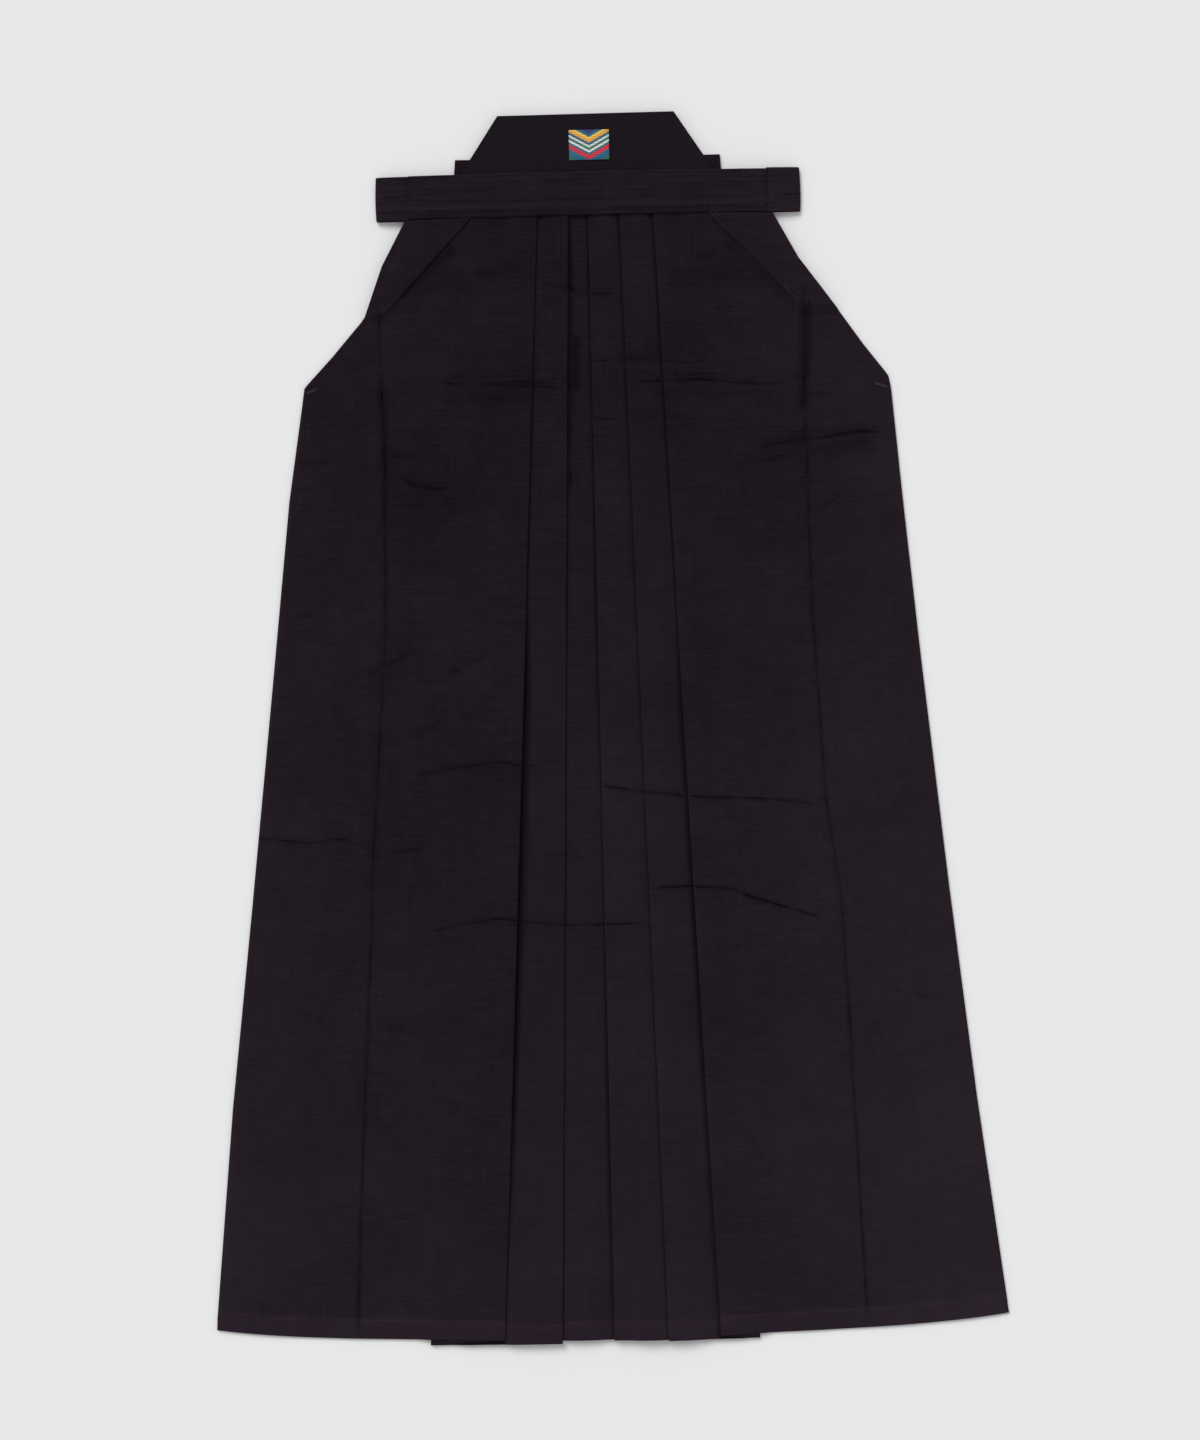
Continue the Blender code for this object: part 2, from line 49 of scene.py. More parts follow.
# the form that every piece of the hakama shares; right and left are the wearer's, right is -X
form = dict(
    waistY=463.0, hemY=-549.0, lowY=-553.0, frontTop=492.0, backTop=479.0, crotchY=50.0,
    pitch=1.3,          # from one layer to the next
    tieLift=3.3,        # what lies over the folded ties is this much higher
    boardTop=7.1, boardSlope=2.5, boardRise=(461.0, 18.0),
    foldClear=1.6,      # a layer stays up this far past the fold under it, less past a seam
    seamClear=0.4,
    ramp=13.0,          # then comes down over this width, and over more at the top of a piece
    topRamp=22.0,
    tieInner=15.0, tieWidth=76.0, tieRamp=18.0, tieEnd=(-337.0, -362.0), tieHip=372.0,
    air=1.5,            # how loosely the front lies over the back
)

# lines down the garment: x at the waist, x at the hem, the side that a fold turns its edge to
foldLines = dict(
    mainRightUnder=(-75.0, -164.0, -1), backRightUnder=(-61.0, -131.0, -1), pleat1=(-47.0, -99.0, 1),
    stripRightUnder=(-35.0, -87.0, -1), pleat2=(-19.0, -47.0, 1), gussetRightFold=(-12.5, -32.0, -1),
    backRightEdge=(-8.0, -20.0, 1), pleat3=(0.6, 2.0, -1), backSeam=(7.0, 9.0, 0),
    backLeftEdge=(14.0, 28.0, -1), frontSeam=(21.0, 38.0, 0), pleat4=(29.0, 50.5, -1),
    gussetLeftFold=(36.0, 63.0, 1), stripLeftUnder=(44.0, 76.0, 1), pleat5=(59.5, 98.0, -1),
    backLeftUnder=(66.0, 112.0, 1), mainLeftUnder=(74.0, 131.0, 1),
)
lineHemY = dict(  # how low the hem is at the folds
    mainRightUnder=-552.6, pleat1=-549.0, stripRightUnder=-550.4, pleat2=-553.2, pleat3=-551.2,
    frontSeam=-550.8, stripLeftUnder=-551.9, pleat4=-552.3, pleat5=-549.4, mainLeftUnder=-552.4,
    gussetRightFold=-548.0, gussetLeftFold=-548.0, backSeam=-547.5,
)

outlineY = (500.0, 463.0, 420.0, 374.0, 340.0, 312.0, 300.0, 210.0, 60.0, -150.0, -337.0, -525.0, -553.0)
outlineRight = (
    -161.5, -163.6, -186.7, -203.5, -233.0, -259.3, -261.0, -275.2, -292.1, -316.3, -338.6, -356.7, -357.3,
)
outlineLeft = (161.5, 164.6, 187.8, 221.8, 245.5, 267.0, 269.2, 276.6, 290.3, 311.4, 331.8, 355.4, 357.3)
backOpenY = (479.0, 374.0, 312.0)
backOpenRight = (-125.0, -201.5, -258.5)
backOpenLeft = (125.0, 205.0, 266.4)

# layers from the table up; the sheets of one level never lie on each other
levels = (
    (("backRightOuter", None, "backRightEdge"), ("backLeftOuter", "backLeftEdge", None)),
    (("backRightReturn", "backRightUnder", "backRightEdge"),
     ("backLeftReturn", "backLeftEdge", "backLeftUnder")),
    (("backRightInner", "backRightUnder", "backSeam"), ("backLeftInner", "backSeam", "backLeftUnder")),
    (("gussetRightLower", "gussetRightFold", "backSeam"),
     ("gussetLeftLower", "backSeam", "gussetLeftFold")),
    (("gussetRightUpper", "gussetRightFold", "frontSeam"),
     ("gussetLeftUpper", "frontSeam", "gussetLeftFold")),
    (("centreStrip", "stripRightUnder", "frontSeam"),),
    (("stripRightReturn", "stripRightUnder", "pleat2"), ("centreReturn", "pleat3", "frontSeam")),
    (("stripRight", "mainRightUnder", "pleat2"), ("innerStripLeft", "pleat3", "stripLeftUnder")),
    (("mainRightReturn", "mainRightUnder", "pleat1"), ("stripLeftReturn", "pleat4", "stripLeftUnder")),
    (("mainRight", None, "pleat1"), ("stripLeft", "pleat4", "mainLeftUnder")),
    (("mainLeftReturn", "pleat5", "mainLeftUnder"),),
    (("mainLeft", "pleat5", None),),
)
backLevels = 3
gussetLevels = 5
levelOf = {name: number for number, level in enumerate(levels) for name, first, last in level}
spanOf = {name: (first, last) for level in levels for name, first, last in level}


def smooth(t):
    t = np.clip(t, 0.0, 1.0)
    return t * t * (3 - 2 * t)


def lineX(name, y):
    waist, hem, faces = foldLines[name]
    return waist + (hem - waist) * (form["waistY"] - y) / (form["waistY"] - form["lowY"])


def down(y, ys, xs):
    # reads a table whose heights go down the garment
    return np.interp(-np.asarray(y), [-height for height in ys], xs)


def edgeX(side, y, back=False):
    edge = down(y, outlineY, outlineRight if side < 0 else outlineLeft)
    if back:
        narrow = down(y, backOpenY, backOpenRight if side < 0 else backOpenLeft)
        edge = np.where(np.asarray(y) > backOpenY[-1], narrow, edge - side * 0.5)
    return edge


def presence(name, x, y):
    first, last = spanOf[name]
    away = np.zeros_like(x)
    for line, side in ((first, -1), (last, 1)):
        if line:
            clear = form["foldClear"] if foldLines[line][2] else form["seamClear"]
            away = np.maximum(away, (x - lineX(line, y)) * side - clear)
    here = 1 - smooth(away / form["ramp"])
    level = levelOf[name]
    if level >= gussetLevels:
        return here
    top = form["backTop"] if level < backLevels else form["crotchY"]
    return here * (1 - smooth((y - top) / form["topRamp"]))


def tieCover(x, y):
    side = np.where(x < 0, -1.0, 1.0)
    inner = np.where(x < 0, -lineX("mainRightUnder", y), lineX("mainLeftUnder", y)) + form["tieInner"]
    outer = inner + form["tieWidth"]
    inward = (inner - x * side) / (form["tieInner"] - form["foldClear"])
    outward = np.where(y < form["tieHip"], (x * side - outer) / form["tieRamp"], 0.0)
    ending = (form["tieEnd"][0] - y) / (form["tieEnd"][0] - form["tieEnd"][1])
    return 1 - smooth(np.maximum(np.maximum(inward, outward), ending))


def piled(z, first, last, x, y):
    # one pitch for every level that lies here
    for number in range(first, last):
        z = z + form["pitch"] * np.max([presence(name, x, y) for name, a, b in levels[number]], axis=0)
    return z


def stackZ(level, x, y):
    lower = piled(form["tieLift"] * tieCover(x, y), 0, min(level, backLevels), x, y)
    if level < backLevels:
        return lower
    pastBoard = np.clip((np.abs(x) - 128.0) / 33.0, 0.0, 1.0)
    board = form["boardTop"] - form["boardSlope"] * pastBoard
    foot, rise = form["boardRise"]
    z = lower + (board - lower) * smooth((y - foot) / rise)
    return piled(z, backLevels, level, x, y) + frontLoose(x, y)


# creases as polylines in the garment's plane: depth, half width, how dark the painted shade along the line
# is
creases = dict(
    storageRight=(((-191, 392), (-190, 330), (-188, 237), (-191, 84), (-206, -105), (-213, -240),
                   (-222, -380), (-231, -545)), 1.3, 2.6, 0.62),
    storageRightUpper=(((-190, 330), (-189, 285), (-188, 237), (-190, 180)), 1.4, 3.0, 1.0),
    storageLeft=(((196, 404), (191, 291), (193, 111), (202, -69), (214, -160), (220, -295), (229, -540)),
                 1.3, 2.6, 0.62),
    storageLeftUpper=(((195, 403), (192, 350), (190, 291), (188, 272)), 1.9, 4.6, 1.0),
    hipRight=(((-146, 314), (-110, 312), (-60, 309), (-25, 307)), 1.6, 3.0, 0.95),
    hipRightUpper=(((-136, 322), (-95, 319), (-52, 318)), 0.8, 3.2, 0.35),
    hipRightStart=(((-187, 316), (-165, 313), (-143, 318)), 0.7, 4.5, 0.3),
    hipLeftEnd=(((199, 301), (208, 296), (222, 299)), 0.9, 2.6, 0.55),
    hipMiddle=(((-8, 330), (40, 331), (84, 327), (115, 328)), 1.4, 3.0, 0.8),
    hipLeft=(((34, 310), (95, 312), (150, 306), (186, 308)), 1.6, 3.0, 0.95),
    sideLeft=(((141, 247), (176, 254), (205, 257), (238, 262), (267, 261)), 2.2, 4.4, 1.0),
    sideLeftUnder=(((186, 246), (160, 238), (138, 233)), 0.9, 4.0, 0.4),
    sideLeftLow=(((201, 193), (212, 200), (226, 207)), 1.3, 3.4, 0.7),
    stripCross=(((-47, 402), (-20, 396), (4, 390), (30, 392)), 1.2, 2.7, 1.0),
    stripLow=(((-21, 280), (30, 277), (60, 280), (96, 275)), 0.7, 2.6, 0.45),
    sideLeftTop=(((191, 217), (203, 221), (214, 227)), 0.9, 3.2, 0.4),
    sideRight=(((-276, 246), (-250, 245), (-225, 243)), 0.8, 3.0, 0.6),
    besideStorage=(((-188, 246), (-172, 250), (-156, 248)), 1.0, 3.2, 0.55),
    besideStorageLow=(((-178, 232), (-162, 222), (-140, 218), (-124, 221)), 1.4, 4.2, 0.8),
    softRight=(((-218, 47), (-190, 60), (-154, 79)), 1.1, 4.0, 0.42),
    softRightLow=(((-148, 46), (-124, 56), (-93, 71)), 1.2, 3.8, 0.6),
    softRightLower=(((-176, -8), (-150, 4), (-128, 22)), 0.9, 6.0, 0.35),
    kneeRight=(((-173, -39), (-121, -32), (-89, -28), (-71, -33), (-30, -29)), 1.1, 2.4, 0.8),
    kneeLeft=(((-6, -51), (38, -58), (89, -64), (150, -67), (196, -73)), 1.3, 2.4, 0.95),
    kneeStrip=(((-84, -112), (-46, -113), (-3, -117)), 0.8, 2.4, 0.5),
    shinSide=(((-322, -91), (-262, -98), (-240, -94), (-214, -101)), 1.3, 2.6, 0.75),
    shinSideLow=(((-200, -110), (-176, -107), (-156, -102)), 1.0, 3.0, 0.6),
    shinRight=(((-160, -182), (-144, -177), (-94, -169), (-60, -174), (-31, -177), (41, -176)),
               1.2, 2.4, 0.9),
    shinLeft=(((33, -145), (80, -144), (114, -147), (136, -156), (158, -163), (202, -177)), 1.4, 2.5, 1.0),
    shinLeftSide=(((247, -237), (276, -247), (305, -252)), 0.9, 3.2, 0.4),
    shinRightLow=(((-205, -262), (-190, -268), (-170, -258)), 0.8, 4.5, 0.35),
    lowBand=(((-227, -492), (-160, -484), (-101, -480), (-30, -483), (52, -482)), 0.6, 7.0, 0.18),
    waistRight=(((-165, 418), (-140, 412), (-118, 409)), 1.0, 4.5, 0.4),
    waistSoftRight=(((-176, 396), (-140, 402), (-100, 399), (-62, 404)), 1.3, 9.0, 0.22),
    waistSoftLeft=(((82, 388), (118, 396), (160, 384)), 1.2, 10.0, 0.22),
    hipSoftRight=(((-240, 322), (-205, 330), (-150, 335), (-96, 331)), 1.2, 10.0, 0.16),
    hipSoftLeft=(((62, 345), (110, 350), (170, 340)), 1.1, 10.0, 0.16),
    sideSoftLeft=(((205, 236), (232, 240), (262, 238)), 1.4, 9.0, 0.25),
    thighSoftRight=(((-235, 205), (-190, 196), (-120, 182)), 1.1, 11.0, 0.14),
    thighSoftLeft=(((120, 160), (180, 150), (262, 168)), 1.1, 11.0, 0.14),
    kneeSoftRight=(((-290, -60), (-230, -70), (-170, -62)), 1.2, 11.0, 0.15),
    kneeSoftLeft=(((215, -95), (262, -92), (305, -100)), 1.3, 10.0, 0.18),
    shinSoftRight=(((-292, -215), (-240, -228), (-180, -222), (-120, -232)), 1.1, 12.0, 0.14),
    shinSoftLeft=(((110, -225), (180, -235), (250, -222)), 1.1, 12.0, 0.14),
    lowSoftRight=(((-330, -395), (-260, -405), (-190, -398)), 1.0, 12.0, 0.12),
    lowSoftLeft=(((120, -398), (210, -410), (300, -396)), 1.0, 12.0, 0.12),
    waistSeamRight=(((-108, 421), (-84, 420), (-60, 421)), 0.5, 2.0, 0.45),
    waistSeamRightLow=(((-98, 412), (-80, 411), (-57, 414)), 0.5, 2.2, 0.4),
    waistLeft=(((80, 412), (100, 420), (124, 424)), 0.7, 5.0, 0.25),
    besideStrip=(((-17, 462), (-17, 400), (-18, 350), (-20.5, 322), (-19, 300), (-21, 255), (-22, 206)),
                 1.2, 1.9, 0.95),
    sideHip=(((-232, 300), (-222, 282), (-205, 272)), 0.6, 6.0, 0.2),
)

softWidth = 6.5  # wider creases are only soft swells, with no line drawn in them
farAway = 9.0    # the distance given to a point that is near no crease


def toSegment(x, y, a, b):
    ax, ay = a
    dx, dy = b[0] - ax, b[1] - ay
    along = np.clip(((x - ax) * dx + (y - ay) * dy) / (dx * dx + dy * dy), 0.0, 1.0)
    away = np.hypot(x - ax - along * dx, y - ay - along * dy)
    side = np.sign((x - ax) * dy - (y - ay) * dx)
    return away, side


def creaseField(x, y):
    height = np.zeros_like(x)
    away = np.full_like(x, farAway)
    shadeOfLine = np.zeros_like(x)
    best = np.full_like(x, np.inf)
    for points, depth, width, dark in creases.values():
        near = np.full_like(x, np.inf)
        which = np.ones_like(x)
        for start, end in zip(points, points[1:]):
            distance, side = toSegment(x, y, start, end)
            closer = distance < near
            near = np.where(closer, distance, near)
            which = np.where(closer, side, which)
        ends = np.min([np.hypot(x - end[0], y - end[1]) for end in (points[0], points[-1])], axis=0)
        length = sum(math.dist(a, b) for a, b in zip(points, points[1:]))
        taper = smooth(ends / min(4.0 * width + 8.0, 0.3 * length))
        trough = np.exp(-((near / (1.2 * width)) ** 2))
        ridge = np.exp(-(((near - 2.2 * width) / (1.5 * width)) ** 2)) * np.where(which > 0, 0.9, 0.3)
        height += depth * taper * (ridge - trough)
        closest = (near / width < best) & (width < softWidth)
        best = np.where(closest, near / width, best)
        away = np.where(closest, near * which * 2.2 / width, away)
        # the nearest crease's painted shade: how dark a line is drawn along it
        shadeOfLine = np.where(closest, dark * taper, shadeOfLine)
    return height, np.clip(away, -farAway, farAway), shadeOfLine * (1 - smooth((np.abs(away) - 3.0) / 1.6))


softShades = dict(  # broad shade beside the sharpest folds: points, half width, how dark
    storageLeft=(((196, 404), (194, 350), (192, 318), (190, 290)), 4.6, 0.62),
    storageRight=(((-189, 308), (-187, 270), (-187, 234)), 4.6, 0.5),
    foldRight=(((-124, 433), (-150, 412), (-172, 392), (-190, 374)), 4.4, 0.58),
    foldRightTop=(((-100, 412), (-84, 411), (-66, 414)), 6.0, 0.30),
    foldLeft=(((124, 432), (152, 408), (180, 380)), 4.0, 0.34),
    stripGap=(((-14, 350), (-15, 330), (-15, 308)), 4.0, 0.75),
    hipRight=(((-128, 300), (-80, 299), (-40, 300)), 6.0, 0.20),
    hipLeft=(((60, 301), (110, 302), (160, 298)), 6.0, 0.20),
    hipTopLeft=(((46, 337), (80, 338), (108, 336)), 6.0, 0.16),
    sideLeft=(((176, 246), (210, 249), (245, 253)), 6.0, 0.34),
    topLeft=(((76, 398), (112, 406), (140, 399)), 13.0, 0.16),
    topRight=(((-168, 402), (-140, 404), (-112, 402)), 12.0, 0.18),
)


def shadeField(x, y):
    shade = np.zeros_like(x)
    for points, width, dark in softShades.values():
        near = np.min([toSegment(x, y, a, b)[0] for a, b in zip(points, points[1:])], axis=0)
        shade = np.maximum(shade, dark * np.exp(-((near / width) ** 2)))
    return shade


waves = (  # the soft swell of cloth that has been folded and put away: length, direction, phase, height
    (230.0, 1.45, 0.4, 0.50), (165.0, 1.9, 2.1, 0.42), (118.0, 1.2, 4.4, 0.36), (92.0, 2.5, 1.2, 0.28),
    (67.0, 0.6, 5.3, 0.20), (48.0, 1.65, 3.3, 0.18), (35.0, 2.1, 0.9, 0.12), (27.0, 1.0, 2.7, 0.08),
)


def frontLoose(x, y):
    height = creaseField(x, y)[0]
    for length, turn, phase, high in waves:
        bend = 14.0 * np.sin(y / 71.0 + phase)
        along = (x + bend) * math.cos(turn) + y * math.sin(turn)
        height = height + high * np.sin(math.tau * along / length + phase)
    # held down at the waistband, at the side seams and a little at the hem
    fromEdge = np.minimum(x - edgeX(-1, y), edgeX(1, y) - x)
    held = smooth(fromEdge / 16.0) * smooth((458.0 - y) / 26.0) * (0.45 + 0.55 * smooth((y + 552.0) / 30.0))
    return np.maximum(form["air"] + height, 0.12) * held


def placed(name, bm, rounded=True):
    mesh = bpy.data.meshes.new(name)
    bm.to_mesh(mesh)
    bm.free()
    if rounded:
        mesh.shade_smooth()
    piece = bpy.data.objects.new(name, mesh)
    bpy.context.scene.collection.objects.link(piece)
    return piece


def makeSheet(name, grid, thickness, factors, marks=None):
    rows, across = grid.shape[:2]
    bm = bmesh.new()
    bmesh.ops.create_grid(bm, x_segments=across - 1, y_segments=rows - 1, size=1.0)
    piece = placed(name, bm)
    piece.data.vertices.foreach_set("co", (grid.reshape(-1, 3) * mm).ravel())
    piece.data.update()
    # what the material reads: distance from a crease, the strength of the painted shade drawn along it,
    # deep painted shade, and paler edges, hems and pleat strips, where the strips' paleness is painted
    # light
    plain = dict(away=farAway, lineShade=0.0, shade=0.0, paleAndLit=0.0)
    for key, value in {**plain, **(marks or {})}.items():
        spot = piece.data.attributes.new(key, "FLOAT", "POINT")
        spot.data.foreach_set("value", np.broadcast_to(value, (rows, across)).astype(float).ravel())
    wall = piece.modifiers.new("wall", "SOLIDIFY")
    wall.thickness = thickness * mm
    wall.offset = 0.0
    wall.use_even_offset = True
    group = piece.vertex_groups.new(name="wall")
    for value in np.unique(factors):
        group.add(np.nonzero(factors.ravel() == value)[0].tolist(), float(value), "REPLACE")
    wall.vertex_group = "wall"
    wall.thickness_vertex_group = 0.0
    return piece


cloth = dict(
    wall=1.0,           # the doubled cloth of the hem
    plain=0.72,         # share of it that single cloth has, and the hem's own edge
    hemEdge=0.45,
    hemDepth=18.0, hemStart=20.0, station=4.2, column=4.6, hiddenColumn=10.0, seamShift=0.2,
    # the rows of the hem: the stitched step, then the turned edge
    hemShares=(0.02, 0.06, 0.1, 0.14, 0.18, 0.5, 0.9, 0.965, 0.99, 1.0),
    foldSteps=6, foldReach=1.1,
    # the hem of the main panels curves up to the side seams
    curlFrom=95.0, curlOver=262.0, curlLift=14.3, backLift=1.5,
)


def hemAt(name, x):
    first, last = spanOf[name]
    back = name.startswith("back")
    if first is None or last is None or back:
        out = np.clip((np.abs(x) - cloth["curlFrom"]) / cloth["curlOver"], 0.0, 1.0)
        lift = cloth["curlLift"] * (0.45 * out + 0.55 * out**4)
        return form["hemY"] + lift + (cloth["backLift"] if back else 0.0)
    a, b = foldLines[first][1], foldLines[last][1]
    return lineHemY[first] + (lineHemY[last] - lineHemY[first]) * (x - a) / (b - a)


def sheetRow(name, ys, count, seamShift):
    ends = []
    for line, side in zip(spanOf[name], (-1, 1)):
        end = lineX(line, ys) if line else edgeX(side, ys, name.startswith("back"))
        ends.append(end + (seamShift if line and line.endswith("Seam") else 0.0))
    return ends[0][:, None] + (ends[1] - ends[0])[:, None] * np.linspace(0.0, 1.0, count)


def panelSheet(sheet, ys, seamShift, shown):
    # one flat run of a panel from its top to its hem, and what its material reads
    first, last = spanOf[sheet]
    left = foldLines[first][1] if first else outlineRight[-1]
    right = foldLines[last][1] if last else outlineLeft[-1]
    count = max(4, int((right - left) / cloth["column" if shown else "hiddenColumn"]))
    x = sheetRow(sheet, ys, count, seamShift)
    y = np.repeat(ys[:, None], count, axis=1)
    low = hemAt(sheet, x[-1])
    y[-1] = np.minimum(y[-1], low + cloth["hemDepth"] + 1.5)
    y[-2] = np.maximum(y[-2], y[-1] + 2.0)
    hemY = y[-1] + (low - y[-1]) * np.array(cloth["hemShares"])[:, None]
    x = np.concatenate([x, sheetRow(sheet, hemY.mean(axis=1), count, seamShift)])
    y = np.concatenate([y, hemY])
    z = stackZ(levelOf[sheet], x, y) + form["pitch"] / 2 + pleatLift(sheet, x, y)
    nothing = np.zeros_like(x)
    marks = dict(away=nothing + farAway, lineShade=nothing, shade=nothing, paleAndLit=nothing)
    if shown:
        height, marks["away"], marks["lineShade"] = creaseField(x, y)
        marks["shade"] = np.maximum(pleatShade(sheet, x, y), shadeField(x, y))
        marks["paleAndLit"] = paleAndLitAt(sheet, x, y, low)
    return np.stack([x, y, z], axis=2), marks


def foldTurn(before, after, side):
    # the cloth round a fold, from the edge of one sheet to the edge of the next
    half = (before[:, 2] - after[:, 2]) / 2
    steps = np.linspace(0.0, math.pi, cloth["foldSteps"] + 2)[1:-1]
    reach = np.minimum(np.abs(half), cloth["foldReach"])
    turn = np.empty((len(half), len(steps), 3))
    turn[:, :, 0] = before[:, 0, None] + side * reach[:, None] * np.sin(steps)
    turn[:, :, 1] = (before[:, 1, None] + after[:, 1, None]) / 2
    turn[:, :, 2] = (before[:, 2] + after[:, 2])[:, None] / 2 + half[:, None] * np.cos(steps)
    return turn


def makePanel(name, runs, top, coarse):
    seamShift = -cloth["seamShift"] if name.endswith("Right") else cloth["seamShift"]
    bottom = form["hemY"] + cloth["hemStart"]
    ys = np.linspace(top, bottom, int((top - bottom) / (cloth["station"] * coarse)) + 1)
    blocks, allMarks = [], []
    forward = spanOf[runs[0]][1] in spanOf[runs[1]] and spanOf[runs[0]][1] is not None
    for sheet in runs:
        block, marks = panelSheet(sheet, ys, seamShift, name.startswith("front") and "Return" not in sheet)
        if not forward:
            block = block[:, ::-1]
            marks = {key: value[:, ::-1] for key, value in marks.items()}
        if blocks:
            side = 1.0 if blocks[-1][0, -1, 0] > blocks[-1][0, -2, 0] else -1.0
            blocks.append(foldTurn(blocks[-1][:, -1], block[:, 0], side))
            edge = np.repeat(allMarks[-1]["paleAndLit"][:, -1:], cloth["foldSteps"], axis=1)
            allMarks.append(dict(away=edge * 0 + farAway, lineShade=edge * 0, shade=edge * 0, paleAndLit=edge))
        blocks.append(block)
        allMarks.append(marks)
        forward = not forward
    grid = np.concatenate(blocks, axis=1)
    marks = {key: np.concatenate([each[key] for each in allMarks], axis=1) for key in marks}
    factors = np.full(grid.shape[:2], cloth["plain"])
    factors[1 - len(cloth["hemShares"]):] = 1.0
    factors[-1] = cloth["hemEdge"]
    return makeSheet(name, grid, cloth["wall"], factors, marks), grid


def pleatLift(name, x, y):
    # the long edges of the outer pleats stand open below the hip
    line = {"mainRight": "pleat1", "mainLeft": "pleat5"}.get(name)
    if line is None:
        return 0.0
    return pleats["lift"] * opening(y) * (1 - smooth(np.abs(x - lineX(line, y)) / pleats["liftWide"]))


pleats = dict(
    lift=2.6, liftWide=26.0,    # how far the outer pleats' edges stand up where they are open
    # what lies over each sheet: its edge, the side that it shades, and the shade's width and strength
    # where the pleat is closed and where it is open
    over=dict(
        stripRight=(("pleat1", 1, 1.5, 0.80, 6.8, 0.82),),
        centreStrip=(("pleat2", 1, 1.5, 0.75, 1.5, 0.75), ("pleat3", -1, 2.3, 0.75, 2.3, 0.75)),
        innerStripLeft=(("pleat4", -1, 2.2, 0.80, 2.2, 0.80),),
        stripLeft=(("pleat5", -1, 2.2, 0.80, 3.6, 0.95),),
    ),
)


def opening(y):
    return smooth((150.0 - y) / 130.0) * smooth((y + 560.0) / 420.0)


def pleatShade(name, x, y):
    # deep shade on the cloth just under each pleat's edge, widest where the outer pleats stand open
    shade = np.zeros_like(x)
    for line, side, wide, dark, openWide, openDark in pleats["over"].get(name, ()):
        gone = (x - lineX(line, y)) * side
        wide = wide + (openWide - wide) * opening(y)
        dark = dark + (openDark - dark) * opening(y)
        shade = np.maximum(shade, dark * (1 - smooth((gone - wide * 0.6) / wide)))
    return shade


def paleAndLitAt(name, x, y, low):
    # paler over the hem, along the hem's stitch line and near the side edges
    hem = smooth((low[None, :] + cloth["hemDepth"] + 0.6 - y) / 1.2)
    stitched = np.exp(-(((y - low[None, :] - cloth["hemDepth"] + 1.2) / 1.1) ** 2))
    fromEdge = np.minimum(x - edgeX(-1, y), edgeX(1, y) - x)
    # the pleat strips are painted lighter: painted light that makes up for the shade between the pleats
    strip = 0.0 if name.startswith("main") else 0.06 + 0.18 * smooth((280.0 - y) / 260.0)
    edge = 0.35 * (1 - smooth(fromEdge / 5.0)) * smooth((300 - y) / 30)
    return np.maximum(np.maximum(hem * 0.52, edge), strip) + 0.4 * stitched


panels = dict(  # the CAD node, the top edge, and the sheets from one seam to the other
    backRight=("back_right", "backTop", ("backRightOuter", "backRightReturn", "backRightInner")),
    backLeft=("back_left", "backTop", ("backLeftOuter", "backLeftReturn", "backLeftInner")),
    gussetRight=("gusset_right", "crotchY", ("gussetRightLower", "gussetRightUpper")),
    gussetLeft=("gusset_left", "crotchY", ("gussetLeftLower", "gussetLeftUpper")),
    frontRight=("front_right", "frontTop",
                ("mainRight", "mainRightReturn", "stripRight", "stripRightReturn", "centreStrip")),
    frontLeft=("front_left", "frontTop",
               ("mainLeft", "mainLeftReturn", "stripLeft", "stripLeftReturn", "innerStripLeft",
                "centreReturn")),
)


def node(tree, kind, sources=None, **values):
    made = tree.nodes.new(kind)
    for key, value in values.items():
        if key in made.inputs:
            made.inputs[key].default_value = value
        else:
            setattr(made, key, value)
    for key, source in (sources or {}).items():
        tree.links.new(source, made.inputs[key])
    return made


def maths(tree, operation, *terms):
    made = node(tree, "ShaderNodeMath", operation=operation)
    for number, term in enumerate(terms):
        if isinstance(term, float):
            made.inputs[number].default_value = term
        else:
            tree.links.new(term, made.inputs[number])
    return made.outputs["Value"]


def times(tree, *terms):
    return maths(tree, "MULTIPLY", *terms)


def ranged(tree, source, start, end, low=0.0, high=1.0, kind="LINEAR"):
    limits = {"From Min": start, "From Max": end, "To Min": low, "To Max": high}
    made = node(tree, "ShaderNodeMapRange", {"Value": source}, interpolation_type=kind, **limits)
    return made.outputs["Result"]


def noise(tree, vector, scale, detail, rough=0.5):
    made = node(tree, "ShaderNodeTexNoise", {"Vector": vector}, Scale=scale, Detail=detail, Roughness=rough)
    return made.outputs["Fac"]


def mapped(tree, vector, **values):
    return node(tree, "ShaderNodeMapping", {"Vector": vector}, **values).outputs["Vector"]


def mixed(tree, factor, first, second, **settings):
    # colours or sockets, blended
    made = node(tree, "ShaderNodeMix", data_type="RGBA", **settings)
    for slot, value in (("Factor", factor), (6, first), (7, second)):
        if isinstance(value, tuple):
            made.inputs[slot].default_value = (*value, 1.0)
        elif isinstance(value, float):
            made.inputs[slot].default_value = value
        else:
            tree.links.new(value, made.inputs[slot])
    return made.outputs[2]


def marked(tree, name):
    return node(tree, "ShaderNodeAttribute", attribute_name=name).outputs["Fac"]


def bumped(tree, height, strength, distance, before=None):
    sources = {"Height": height, "Normal": before} if before else {"Height": height}
    return node(tree, "ShaderNodeBump", sources, Strength=strength, Distance=distance).outputs["Normal"]


def newMaterial(name, **finish):
    mat = bpy.data.materials.new(name)
    mat.use_nodes = True
    shader = mat.node_tree.nodes["Principled BSDF"]
    for key, value in finish.items():
        shader.inputs[key].default_value = value
    return mat, mat.node_tree, shader


